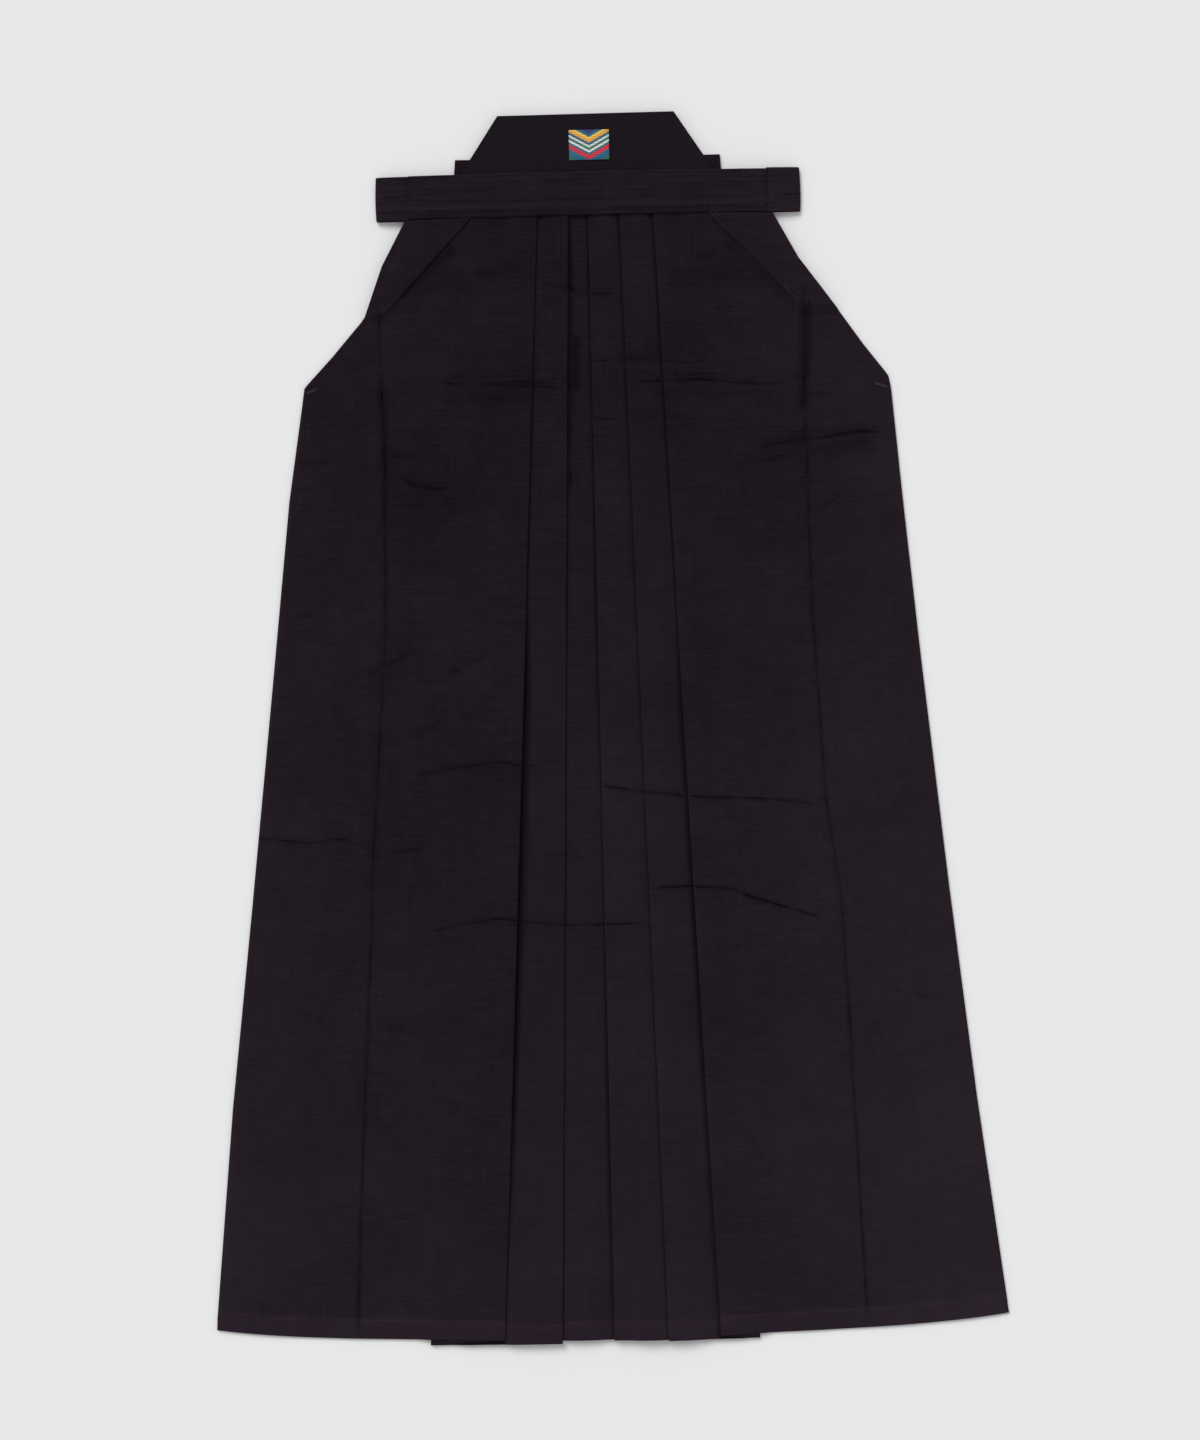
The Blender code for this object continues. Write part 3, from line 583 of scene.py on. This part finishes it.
clothLook = dict(
    # line is the colour that the painted shade in creases, stitch grooves and under pleat edges goes
    # towards
    base=(0.0100, 0.0052, 0.0100), light=(0.0168, 0.0106, 0.0164), line=(0.0012, 0.0006, 0.0012),
    rough=0.95, specular=0.06, sheen=0.04, fade=0.55,
    slub=(40.0, 900.0, 40.0), warp=(700.0, 22.0, 40.0),     # the yarns across and down
    twill=62.5, twillTurn=63.0, weaveBump=0.0004, creaseBump=0.0012,
)


def patchesAndPalerAreas(tree, where, look):
    # broad patches, and paler towards the side seams, the wearer's left and the hem
    spot = node(tree, "ShaderNodeSeparateXYZ", {"Vector": where}).outputs
    sides = ranged(tree, maths(tree, "ABSOLUTE", spot["X"]), 0.16, 0.36, high=0.36)
    left = ranged(tree, spot["X"], 0.02, 0.30, high=0.45)
    hem = ranged(tree, spot["Y"], 0.20, -0.56, high=0.58)
    blots = ranged(tree, noise(tree, where, 75.0, 4.0, 0.6), 0.3, 0.7, -0.16, 0.16)
    patches = ranged(tree, noise(tree, where, 7.0, 4.0, 0.6), 0.38, 0.68, high=look["fade"])
    total = sides
    for more in (left, blots, hem, patches):
        total = maths(tree, "ADD", total, more)
    return total


def makeCloth(name, **changes):
    look = {**clothLook, **changes}
    mat, tree, shader = newMaterial(name, **{
        "Roughness": look["rough"], "Specular IOR Level": look["specular"], "Sheen Weight": look["sheen"],
        "Sheen Roughness": 0.6, "Sheen Tint": (0.72, 0.62, 0.72, 1.0),
    })
    where = node(tree, "ShaderNodeTexCoord").outputs["Object"]
    # the slubs of the yarns across and down, and the twill's fine diagonal
    slub = noise(tree, mapped(tree, where, Scale=look["slub"]), 1.0, 2.0)
    warp = noise(tree, mapped(tree, where, Scale=look["warp"]), 1.0, 2.0)
    threads = maths(tree, "MULTIPLY_ADD", warp, 0.5, slub)
    turned = mapped(tree, where, Rotation=(0.0, 0.0, math.radians(look["twillTurn"])))
    twill = {"Scale": look["twill"], "Distortion": 1.2, "Detail": 1.0, "Detail Scale": 2.0}
    ribs = node(tree, "ShaderNodeTexWave", {"Vector": turned}, **twill).outputs["Fac"]
    grain = ranged(tree, threads, 0.50, 1.0, -0.36, 0.46)
    paleness = maths(tree, "ADD", patchesAndPalerAreas(tree, where, look), grain)
    clothTone = mixed(tree, paleness, look["base"], look["light"], clamp_factor=False)
    # edges, hems, the ties and a stripe of the waistband are paler; on the pleat strips the paleness is
    # painted light, set against the shade between the pleats
    palerShare = times(tree, marked(tree, "paleAndLit"), 0.5)
    clothTone = mixed(tree, palerShare, clothTone, tuple(2.0 * c for c in look["light"]))
    # creases: painted shade, a dark line in a soft shade, uneven along its length, drawn from the distance
    # to the crease
    away = marked(tree, "away")
    square = times(tree, away, away)
    drawnLine = ranged(tree, square, 1.7, 0.0, kind="SMOOTHERSTEP")
    soft = ranged(tree, square, 16.0, 0.0, high=0.34, kind="SMOOTHSTEP")
    uneven = ranged(tree, noise(tree, where, 60.0, 3.0), 0.35, 0.6, 0.35, 1.0)
    strength = times(tree, marked(tree, "lineShade"), uneven)
    drawn = times(tree, maths(tree, "MAXIMUM", drawnLine, soft), strength)
    mark = maths(tree, "MAXIMUM", drawn, marked(tree, "shade"))
    tree.links.new(mixed(tree, mark, clothTone, look["line"]), shader.inputs["Base Color"])
    weave = bumped(tree, maths(tree, "MULTIPLY_ADD", ribs, 0.5, threads), 0.55, look["weaveBump"])
    # the crease itself: a lip on one side and a trough on the other
    lip = ranged(tree, away, -1.8, 1.8, kind="SMOOTHSTEP")
    nearness = ranged(tree, square, 60.0, 3.0, kind="SMOOTHSTEP")
    lipHeight = times(tree, lip, times(tree, nearness, strength))
    tree.links.new(bumped(tree, lipHeight, 0.9, look["creaseBump"], weave), shader.inputs["Normal"])
    return mat


cottonMat = makeCloth("blackCotton")
tieMat = makeCloth("tieCotton", base=(0.0104, 0.0062, 0.0107), light=(0.0171, 0.0111, 0.0175))
boardMat = makeCloth("boardCotton", base=(0.0102, 0.0071, 0.0116), light=(0.0128, 0.0097, 0.0146),
                     fade=0.35)
print("materials made")


def dress(piece, mat, slot, *nodes):
    piece.data.materials.clear()
    piece.data.materials.append(mat)
    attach(piece, "root")
    if nodes:
        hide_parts(*nodes)
    return piece


for name, (nodeName, top, runs) in panels.items():
    piece, grid = makePanel(name, runs, form[top], 1.0 if name.startswith("front") else 2.2)
    dress(piece, cottonMat, "black_cotton", nodeName)


def boxOf(nodeName):
    # the lowest and highest corners of a CAD node, in millimetres
    low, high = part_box(nodeName)
    return low / mm, high / mm


# the waistband: the front tie where it is sewn over the top of the pleats
band = dict(
    half=161.45, low=462.0, high=500.0, wall=2.3, column=3.0, rows=46, reach=2, clear=0.15, footDrop=0.8,
    stitched=(496.9, 491.6, 486.6, 481.6, 475.4, 467.4), groove=0.32, grooveWide=0.9,
)


def wander(x, number):
    # the rows of stitching aren't quite straight
    return 0.35 * np.sin(x / 31.0 + number * 1.7)


def stitchedMarks(x, y, top):
    away, lineShade, groove = np.full_like(x, farAway), np.zeros_like(x), np.zeros_like(x)
    # each row presses a groove, and painted shade is drawn along it
    for number, height in enumerate(band["stitched"]):
        off = y - (height - band["high"] + top) - wander(x, number)
        groove -= band["groove"] * np.exp(-((off / band["grooveWide"]) ** 2))
        nearer = np.abs(off) * 1.4 < away
        away = np.where(nearer, np.abs(off) * 1.4, away)
        lineShade = np.where(nearer, 0.30 + 0.2 * np.sin(x / 37.0 + number * 2.3), lineShade)
    return groove, {"away": away, "lineShade": lineShade}


def makeBand():
    xs = np.linspace(-band["half"], band["half"], int(2 * band["half"] / band["column"]))
    ys = np.linspace(band["high"], band["low"], band["rows"])
    x, y = np.meshgrid(xs, ys)
    z = np.empty_like(x)
    for row in range(len(ys)):
        under = stackZ(len(levels), x[row], np.minimum(y[row], form["frontTop"]))
        for pick in (np.max, np.mean):  # over the highest of what is near, then smoothed
            padded = np.pad(under, band["reach"], mode="edge")
            under = pick([padded[i:i + len(xs)] for i in range(2 * band["reach"] + 1)], axis=0)
        z[row] = under
    z += band["wall"] / 2 + band["clear"]
    # the rows of stitching press grooves into it, and its foot is sewn down flat
    groove, marks = stitchedMarks(x, y, band["high"])
    marks["paleAndLit"] = 0.10 + 0.36 * smooth((474.0 - y) / 1.5) * smooth((y - 467.8) / 1.5)
    foot = 1 - smooth((y - form["waistY"]) / 7.0)
    z += groove - band["footDrop"] * foot
    factors = np.round(1 - 0.65 * foot, 2)
    factors[0] = factors[-1] = 0.3
    piece = makeSheet("waistbandCloth", np.stack([x, y, z], axis=2), band["wall"], factors, marks)
    dress(piece, tieMat, "tie_cotton", "waistband")
    return xs, ys, z


bandXs, bandYs, bandZ = makeBand()
print("waistband made")


def bandTopZ(x, y):
    column = np.clip((x + band["half"]) / (2 * band["half"]), 0, 1) * (len(bandXs) - 1)
    row = np.clip((band["high"] - y) / (band["high"] - band["low"]), 0, 1) * (len(bandYs) - 1)
    return float(bandZ[int(round(row)), int(round(column))]) + band["wall"] / 2


# the triangular side folds, stitched along their inner edge
sideFold = dict(
    rows=44, columns=26, wall=0.8, clear=0.1, top=460.0, bottom=375.5, topSlope=1.8,
    innerY=(461.4, 420.0, 375.0), innerRight=(105.5, 144.4, 186.5), innerLeft=(106.8, 147.0, 189.6),
    sewnY=(461.0, 420.0, 376.5), sewnRight=(105.5, 144.4, 185.5), sewnLeft=(106.8, 147.0, 188.6),
    bulge=0.5, footY=376.0, footDrop=1.12,
)


def makeSideFold(side, hand):
    ys = np.linspace(sideFold["top"], sideFold["bottom"], sideFold["rows"])
    outer = edgeX(side, ys)
    inner = down(ys, sideFold["innerY"], sideFold[f"inner{hand}"]) * side
    share = np.linspace(0.0, 1.0, sideFold["columns"])
    x = outer[:, None] + (inner - outer)[:, None] * share
    y = np.repeat(ys[:, None], len(share), axis=1)
    y[0] = y[0] + sideFold["topSlope"] * share
    foot = 1 - smooth((y - sideFold["footY"]) / 22.0)
    z = stackZ(levelOf[f"main{hand}"], x, y) + form["pitch"] * 1.5 + sideFold["clear"]
    z -= sideFold["footDrop"] * foot
    z += sideFold["bulge"] * np.sin(math.pi * share) * smooth((455.0 - y) / 30.0) * (1 - foot)
    factors = np.round(1 - 0.85 * foot, 2)
    factors[:, -1] *= 0.5
    piece = makeSheet(f"sideFold{hand}", np.stack([x, y, z], axis=2), sideFold["wall"], factors)
    dress(piece, cottonMat, "black_cotton", f"side_fold_{hand.lower()}")


hands = ((-1, "Right"), (1, "Left"))
for side, hand in hands:
    makeSideFold(side, hand)


# the front tie past the waistband: out, round its outer fold and back under
tieTurn = dict(
    path=((160.7, 7.2), (168.0, 7.15), (175.0, 6.8), (182.0, 6.1), (187.5, 5.2), (190.8, 4.0), (191.7, 2.9),
          (190.9, 1.8), (188.0, 1.0), (180.0, 0.85), (165.0, 0.82), (150.0, 0.82)),
    wall=1.4, rows=46, columns=44, Right=(460.0, 499.6), Left=(461.2, 500.8), sink=0.12,
)
# then its hidden length, and the back tie, each folded down and up again behind the garment
tieLane = dict(
    wall=1.3, apart=0.15, layers=2, low=0.1, margin=1.5,
    frontNear=33.0, frontWidth=40.0, frontDrop=0.6,
    backWidth=32.0, backRise=0.4, backInner=0.6, backElbow=(1.8, 484.0),
)


def curvePoints(points, count):
    xs, zs = np.array(points).T
    lengths = np.concatenate([[0.0], np.cumsum(np.hypot(np.diff(xs), np.diff(zs)))])
    at = np.linspace(0.0, lengths[-1], count)
    curves = [np.interp(at, lengths, xs), np.interp(at, lengths, zs)]
    for curve in curves * 3:
        curve[1:-1] = (curve[:-2] + 2 * curve[1:-1] + curve[2:]) / 4
    return curves


def laneOutline(side, near, width, top, bottom):
    line = "mainRightUnder" if side < 0 else "mainLeftUnder"
    near += form["tieInner"] + tieLane["margin"]
    high, low = (abs(float(lineX(line, y))) + near for y in (top, bottom))
    corners = ((high, top), (high + width, top), (low + width, bottom), (low, bottom))
    return [(side * x, y) for x, y in corners]


def insetOutline(outline, distance):
    area = sum(a[0] * b[1] - b[0] * a[1] for a, b in zip(outline, outline[1:] + outline[:1]))
    inward = 1.0 if area > 0 else -1.0
    moved = []
    for number, (x, y) in enumerate(outline):
        before, after = outline[number - 1], outline[(number + 1) % len(outline)]
        first = math.atan2(y - before[1], x - before[0]) + inward * math.pi / 2
        second = math.atan2(after[1] - y, after[0] - x) + inward * math.pi / 2
        half = math.remainder(second - first, math.tau) / 2
        reach = distance / math.cos(half)
        moved.append((x + reach * math.cos(first + half), y + reach * math.sin(first + half)))
    return moved


def layeredStrip(name, outline, nodeName):
    wall = tieLane["wall"]
    profile = ((0.5, 0.0), (0.12, 0.12), (0.0, 0.4), (0.0, wall - 0.4), (0.12, wall - 0.12), (0.5, wall))
    bm = bmesh.new()
    for layer in range(tieLane["layers"]):
        loops = []
        for inset, z in profile:
            height = (tieLane["low"] + layer * (wall + tieLane["apart"]) + z) * mm
            verts = [bm.verts.new((x * mm, y * mm, height)) for x, y in insetOutline(outline, inset)]
            loops.append([bm.edges.new((a, b)) for a, b in zip(verts, verts[1:] + verts[:1])])
        for lower, upper in zip(loops, loops[1:]):
            bmesh.ops.bridge_loops(bm, edges=lower + upper)
        for end in (loops[0], loops[-1]):
            bmesh.ops.contextual_create(bm, geom=end)
    bmesh.ops.recalc_face_normals(bm, faces=bm.faces)
    return dress(placed(name, bm, rounded=False), tieMat, "tie_cotton", nodeName)


def makeTies(side, hand):
    # gives back the top of the front tie's turn, for the stitches
    frontNode, backNode = f"front_tie_{hand.lower()}", f"back_tie_{hand.lower()}"
    low, high = tieTurn[hand]
    xs, zs = curvePoints(tieTurn["path"], tieTurn["columns"])
    ys = np.linspace(high, low, tieTurn["rows"])
    x, y = np.meshgrid(side * xs, ys)
    z = np.repeat(zs[None, :], len(ys), axis=0)
    x = x + side * 0.5 * np.sin((y - low) / 11.0) * smooth((np.abs(x) - 163.0) / 20.0)  # not quite square
    # its upper half leaves the waistband's end at the waistband's own height
    half = len(xs) // 2
    upper = np.arange(len(xs)) < half
    bandEnd = down(ys, bandYs, bandZ[:, 0 if side < 0 else -1])[:, None]
    rise = bandEnd - tieTurn["sink"] - tieTurn["path"][0][1]
    z += rise * (1 - smooth((np.abs(x) - 161.7) / 24.0)) * upper
    groove, marks = stitchedMarks(x, y, high)
    z += groove * upper
    marks["paleAndLit"] = 0.2
    factors = np.ones_like(z)
    factors[0] = factors[-1] = 0.6
    turn = makeSheet(f"frontTie{hand}Turn", np.stack([x, y, z], axis=2), tieTurn["wall"], factors, marks)
    dress(turn, tieMat, "tie_cotton", frontNode)
    outline = laneOutline(side, tieLane["frontNear"], tieLane["frontWidth"], high - tieLane["frontDrop"],
                          boxOf(frontNode)[0].y)
    lane = layeredStrip(f"frontTie{hand}Lane", outline, frontNode)
    # the back tie starts behind the middle of the waistband and turns down at its elbow
    bottom, top = (corner.y for corner in boxOf(backNode))
    outline = laneOutline(side, 0.0, tieLane["backWidth"], top + tieLane["backRise"], bottom)
    past, elbowY = tieLane["backElbow"]
    elbow = (side * (abs(outline[0][0]) + past), elbowY)
    middle = side * tieLane["backInner"]
    back = layeredStrip(f"backTie{hand}", [(middle, top), *outline[1:], elbow, (middle, elbowY)], backNode)
    return xs[:half], ys, z[:, :half] + tieTurn["wall"] / 2, high


tieTops = {side: makeTies(side, hand) for side, hand in hands}
print("ties made")


# the back board: stiff, covered in cloth, a little crowned, with eased edges
board = dict(
    corners=((-80.0, 552.6), (78.8, 553.4), (127.0, 479.5), (-128.0, 479.5)), low=3.35, thick=3.4, ease=0.9,
    cell=4.0, crown=0.22,
)
boardTopZ = board["low"] + board["thick"]


def easeRim(bm, width, segments):
    rim = [edge for edge in bm.edges if edge.calc_face_angle(0.0) > 0.6]
    bmesh.ops.bevel(bm, geom=rim, offset=width * mm, offset_type="OFFSET", segments=segments, profile=0.5,
                    affect="EDGES", material=-1, clamp_overlap=True)


def makeBoard():
    bm = bmesh.new()
    verts = [bm.verts.new((x * mm, y * mm, board["low"] * mm)) for x, y in board["corners"]]
    face = bmesh.ops.contextual_create(bm, geom=verts)["faces"]
    raised = bmesh.ops.extrude_face_region(bm, geom=face)["geom"]
    up = [item for item in raised if isinstance(item, bmesh.types.BMVert)]
    bmesh.ops.translate(bm, verts=up, vec=(0.0, 0.0, board["thick"] * mm))
    bmesh.ops.recalc_face_normals(bm, faces=bm.faces)
    for way, first, last in ((Vector((1, 0, 0)), -126.0, 127.0), (Vector((0, 1, 0)), 482.0, 553.0)):
        for at in np.arange(first, last, board["cell"]):
            bmesh.ops.bisect_plane(bm, geom=bm.verts[:] + bm.edges[:] + bm.faces[:], dist=1e-6,
                                   plane_co=way * float(at) * mm, plane_no=way)
    easeRim(bm, board["ease"], 4)
    for vert in bm.verts:
        if vert.co.z > (boardTopZ - 0.35) * mm:
            x, y = vert.co.x / mm, vert.co.y / mm
            vert.co.z += (board["crown"] * math.sin(x / 23.0 + 1.0) * math.sin(y / 17.0) - 0.1) * mm
    dress(placed("backBoard", bm), boardMat, "board_cotton", "back_board")


makeBoard()
print("board made")


# the woven label, with a plain pattern of V-shaped stripes
labelLow, labelHigh = boxOf("label")
label = dict(
    centre=((labelLow + labelHigh) / 2).xy, size=(labelHigh - labelLow).xy, clear=0.25, wall=0.7, ease=0.2,
    slope=-0.55, low=-0.0235, high=0.0135,
    # where each stripe starts, and its colour
    stripes=(
        (0.0, (0.010, 0.16, 0.07)), (0.10, (0.0, 0.13, 0.24)), (0.27, (0.72, 0.012, 0.05)),
        (0.385, (0.0, 0.14, 0.22)), (0.44, (0.80, 0.84, 0.78)), (0.50, (0.02, 0.17, 0.12)),
        (0.56, (0.75, 0.80, 0.72)), (0.615, (0.0, 0.12, 0.24)), (0.68, (0.92, 0.42, 0.03)),
        (0.76, (0.95, 0.66, 0.10)), (0.82, (0.0, 0.11, 0.23)), (0.90, (0.012, 0.018, 0.16)),
    ),
)
labelTopZ = boardTopZ + label["clear"] + label["wall"]


def makeLabelMat():
    mat, tree, shader = newMaterial("wovenLabel", **{"Roughness": 0.6, "Sheen Weight": 0.2})
    where = node(tree, "ShaderNodeTexCoord").outputs["Object"]
    centred = mapped(tree, where, Location=(*(-label["centre"] * mm), 0.0))
    spot = node(tree, "ShaderNodeSeparateXYZ", {"Vector": centred}).outputs
    bent = maths(tree, "MULTIPLY_ADD", maths(tree, "ABSOLUTE", spot["X"]), label["slope"], spot["Y"])
    bands = node(tree, "ShaderNodeValToRGB", {"Fac": ranged(tree, bent, label["low"], label["high"])})
    ramp = bands.color_ramp
    ramp.interpolation = "CONSTANT"
    ramp.elements.remove(ramp.elements[1])
    for start, colour in label["stripes"]:
        stop = ramp.elements.new(start) if start else ramp.elements[0]
        stop.color = (*colour, 1.0)
    ribs = node(tree, "ShaderNodeTexWave", {"Vector": where}, bands_direction="Y", Scale=150.0,
                Distortion=0.3).outputs
    woven = mixed(tree, 0.35, bands.outputs["Color"], ribs["Color"], blend_type="MULTIPLY")
    tree.links.new(woven, shader.inputs["Base Color"])
    tree.links.new(bumped(tree, ribs["Fac"], 0.5, 0.0002), shader.inputs["Normal"])
    return mat


def makeLabel():
    bm = bmesh.new()
    size = Matrix.Diagonal((*(label["size"] * mm), label["wall"] * mm, 1.0))
    centre = Vector((*label["centre"], labelTopZ - label["wall"] / 2)) * mm
    bmesh.ops.create_cube(bm, size=1.0, matrix=Matrix.Translation(centre) @ size)
    bmesh.ops.subdivide_edges(bm, edges=bm.edges[:], cuts=7, use_grid_fill=True)
    easeRim(bm, label["ease"], 3)
    piece = dress(placed("labelPatch", bm), makeLabelMat(), "woven_label", "label")


makeLabel()
print("label made")


# stitches: each one a small rounded bead of thread, joined into one piece for each seam
stitch = dict(long=2.6, hemLong=3.0, foldLong=2.4, labelLong=1.8, gap=1.0, thick=0.5, flat=0.84, sink=0.12)
threadMat = makeCloth("blackThread", base=(0.027, 0.021, 0.028), light=(0.040, 0.032, 0.041), sheen=0.15)


def stitchRow(bm, points, topZ, long):
    points = np.array(points, float)
    lengths = np.concatenate([[0.0], np.cumsum(np.linalg.norm(np.diff(points, axis=0), axis=1))])
    for start in np.arange(0.0, lengths[-1] - long, long + stitch["gap"]):
        ends = []
        for at in (start, start + long):
            x, y = (float(np.interp(at, lengths, column)) for column in points.T)
            ends.append(Vector((x, y, topZ(x, y))))
        middle = (ends[0] + ends[1]) / 2 - Vector((0, 0, stitch["sink"]))
        turn = (ends[1] - ends[0]).normalized().to_track_quat("X", "Z").to_matrix().to_4x4()
        scale = Matrix.Diagonal((long / 2, stitch["thick"] / 2, stitch["thick"] * stitch["flat"] / 2, 1.0))
        bmesh.ops.create_uvsphere(bm, u_segments=6, v_segments=5, radius=mm,
                                  matrix=Matrix.Translation(middle * mm) @ turn @ scale)


def finishStitches(name, bm, *nodes):
    piece = dress(placed(name, bm), threadMat, "thread", *nodes)
    print(name, len(piece.data.polygons))


def topOf(sheet, above):
    def top(x, y):
        x, y = np.array([float(x)]), np.array([float(y)])
        return float((stackZ(levelOf[sheet], x, y) + pleatLift(sheet, x, y))[0]) + above
    return top


bandThread = dict(half=159.5, turnFrom=162.6, turnTo=187.0, endX=(-112.0, 111.0), endY=(465.0, 486.0))


def stitchBand():
    bm = bmesh.new()
    for number, height in enumerate(band["stitched"]):
        xs = np.linspace(-bandThread["half"], bandThread["half"], 40)
        stitchRow(bm, [(x, height + wander(x, number)) for x in xs], bandTopZ, stitch["long"])
    for side, (tieXs, tieYs, tieZs, top) in tieTops.items():
        def tieTopZ(x, y):
            return float(np.interp(abs(x), tieXs, tieZs[int(np.argmin(np.abs(tieYs - y)))]))
        for number, height in enumerate(band["stitched"]):
            xs = np.linspace(bandThread["turnFrom"], bandThread["turnTo"], 12) * side
            points = [(x, height - band["high"] + top + wander(x, number)) for x in xs]
            stitchRow(bm, points, tieTopZ, stitch["long"])
    for x in bandThread["endX"]:
        stitchRow(bm, [(x, y) for y in np.linspace(*bandThread["endY"], 8)], bandTopZ, stitch["long"])
    finishStitches("bandStitches", bm)


hemRuns = (  # which sheet's hem shows from one line to the next
    ("mainRight", -354.0, -99.6), ("stripRight", -98.2, -47.4), ("centreStrip", -45.6, 1.0),
    ("innerStripLeft", 2.4, 50.0), ("stripLeft", 51.0, 97.2), ("mainLeft", 98.4, 354.0),
)
sheetAbove = form["pitch"] / 2 + cloth["wall"] * cloth["plain"] / 2
foldAbove = form["pitch"] * 1.5 + sideFold["clear"] + sideFold["wall"] / 2


def stitchHems():
    bm = bmesh.new()
    for name, start, end in hemRuns:
        xs = np.linspace(start, end, 24)
        ys = hemAt(name, xs) + cloth["hemDepth"] - 1.2
        stitchRow(bm, list(zip(xs, ys)), topOf(name, sheetAbove), stitch["hemLong"])
    finishStitches("hemStitches", bm)


def stitchSideFolds():
    bm = bmesh.new()
    for side, hand in hands:
        for inward in (2.0, 6.5):  # two rows, inside the slanting edge
            points = [(side * (x + inward * 0.72), y + inward * 0.68)
                      for x, y in zip(sideFold[f"sewn{hand}"], sideFold["sewnY"])]
            stitchRow(bm, points, topOf(f"main{hand}", foldAbove), stitch["foldLong"])
    finishStitches("sideFoldStitches", bm)


def stitchLabel():
    bm = bmesh.new()
    across, up = (label["size"] - Vector((2.0, 2.0))) / 2
    corners = [(-across, -up), (across, -up), (across, up), (-across, up), (-across, -up)]
    points = [(label["centre"].x + x, label["centre"].y + y) for x, y in corners]
    stitchRow(bm, points, lambda x, y: labelTopZ, stitch["labelLong"])
    finishStitches("labelStitches", bm)


# bar tacks: close threads across the corner of each side opening
tacks = dict(long=12.0, wide=3.0, thick=0.84, threads=16, turn=0.35, lift=0.2)


def makeTack(side, hand):
    low, high = boxOf(f"bar_tack_{hand.lower()}")
    x, y = ((low + high) / 2).xy
    turn = -side * tacks["turn"]
    base = topOf(f"main{hand}", sheetAbove)(x, y) + tacks["lift"]
    bm = bmesh.new()
    for number in range(tacks["threads"]):
        along = (number / (tacks["threads"] - 1) - 0.5) * tacks["long"]
        place = Vector((x + along * math.cos(turn), y + along * math.sin(turn), base)) * mm
        spin = Matrix.Rotation(turn + math.pi / 2 + 0.16 * (-1) ** number, 4, "Z")
        scale = Matrix.Diagonal((tacks["wide"] / 2, tacks["thick"] / 2, tacks["thick"] / 2, 1.0))
        bmesh.ops.create_uvsphere(bm, u_segments=8, v_segments=6, radius=mm,
                                  matrix=Matrix.Translation(place) @ spin @ scale)
    finishStitches(f"barTack{hand}", bm, f"bar_tack_{hand.lower()}")


stitchBand()
stitchHems()
stitchSideFolds()
stitchLabel()
for side, hand in hands:
    makeTack(side, hand)


# floor, light and camera
studio = dict(
    floor=(0.92, 0.92, 0.92), floorSize=60.0, floorDrop=0.0002, world=0.50,
    sun=1.62, sunAngle=math.radians(34), sunFrom=(-0.45, 0.85, 1.05),
    lens=85.0, wide=1.296, turn=math.radians(-1.3), centre=(0.0002, 0.0072), top=0.006,
)


def makeStudio():
    bm = bmesh.new()
    bmesh.ops.create_grid(bm, x_segments=1, y_segments=1, size=studio["floorSize"],
                          matrix=Matrix.Translation((0, 0, -studio["floorDrop"])))
    floor = placed("floor", bm, rounded=False)
    finish = {"Base Color": (*studio["floor"], 1.0), "Roughness": 1.0, "Specular IOR Level": 0.0}
    floor.data.materials.append(newMaterial("paleFloor", **finish)[0])
    world = bpy.data.worlds.new("softRoom")
    world.use_nodes = True
    room = world.node_tree.nodes["Background"].inputs
    room["Color"].default_value = (1.0, 1.0, 1.0, 1.0)
    room["Strength"].default_value = studio["world"]
    bpy.context.scene.world = world
    lamp = bpy.data.lights.new("window", "SUN")
    lamp.energy = studio["sun"]
    lamp.angle = studio["sunAngle"]
    holder = bpy.data.objects.new("window", lamp)
    holder.rotation_euler = (-Vector(studio["sunFrom"])).to_track_quat("-Z", "Y").to_euler()
    bpy.context.scene.collection.objects.link(holder)
    camera = bpy.data.cameras.new("camera")
    camera.lens = studio["lens"]
    eye = bpy.data.objects.new("camera", camera)
    height = studio["wide"] * studio["lens"] / camera.sensor_width + studio["top"]
    eye.location = (*studio["centre"], height)
    eye.rotation_euler = (0.0, 0.0, studio["turn"])
    bpy.context.scene.collection.objects.link(eye)
    bpy.context.scene.camera = eye
    bpy.context.scene.view_settings.view_transform = "Standard"


makeStudio()
print("studio made")
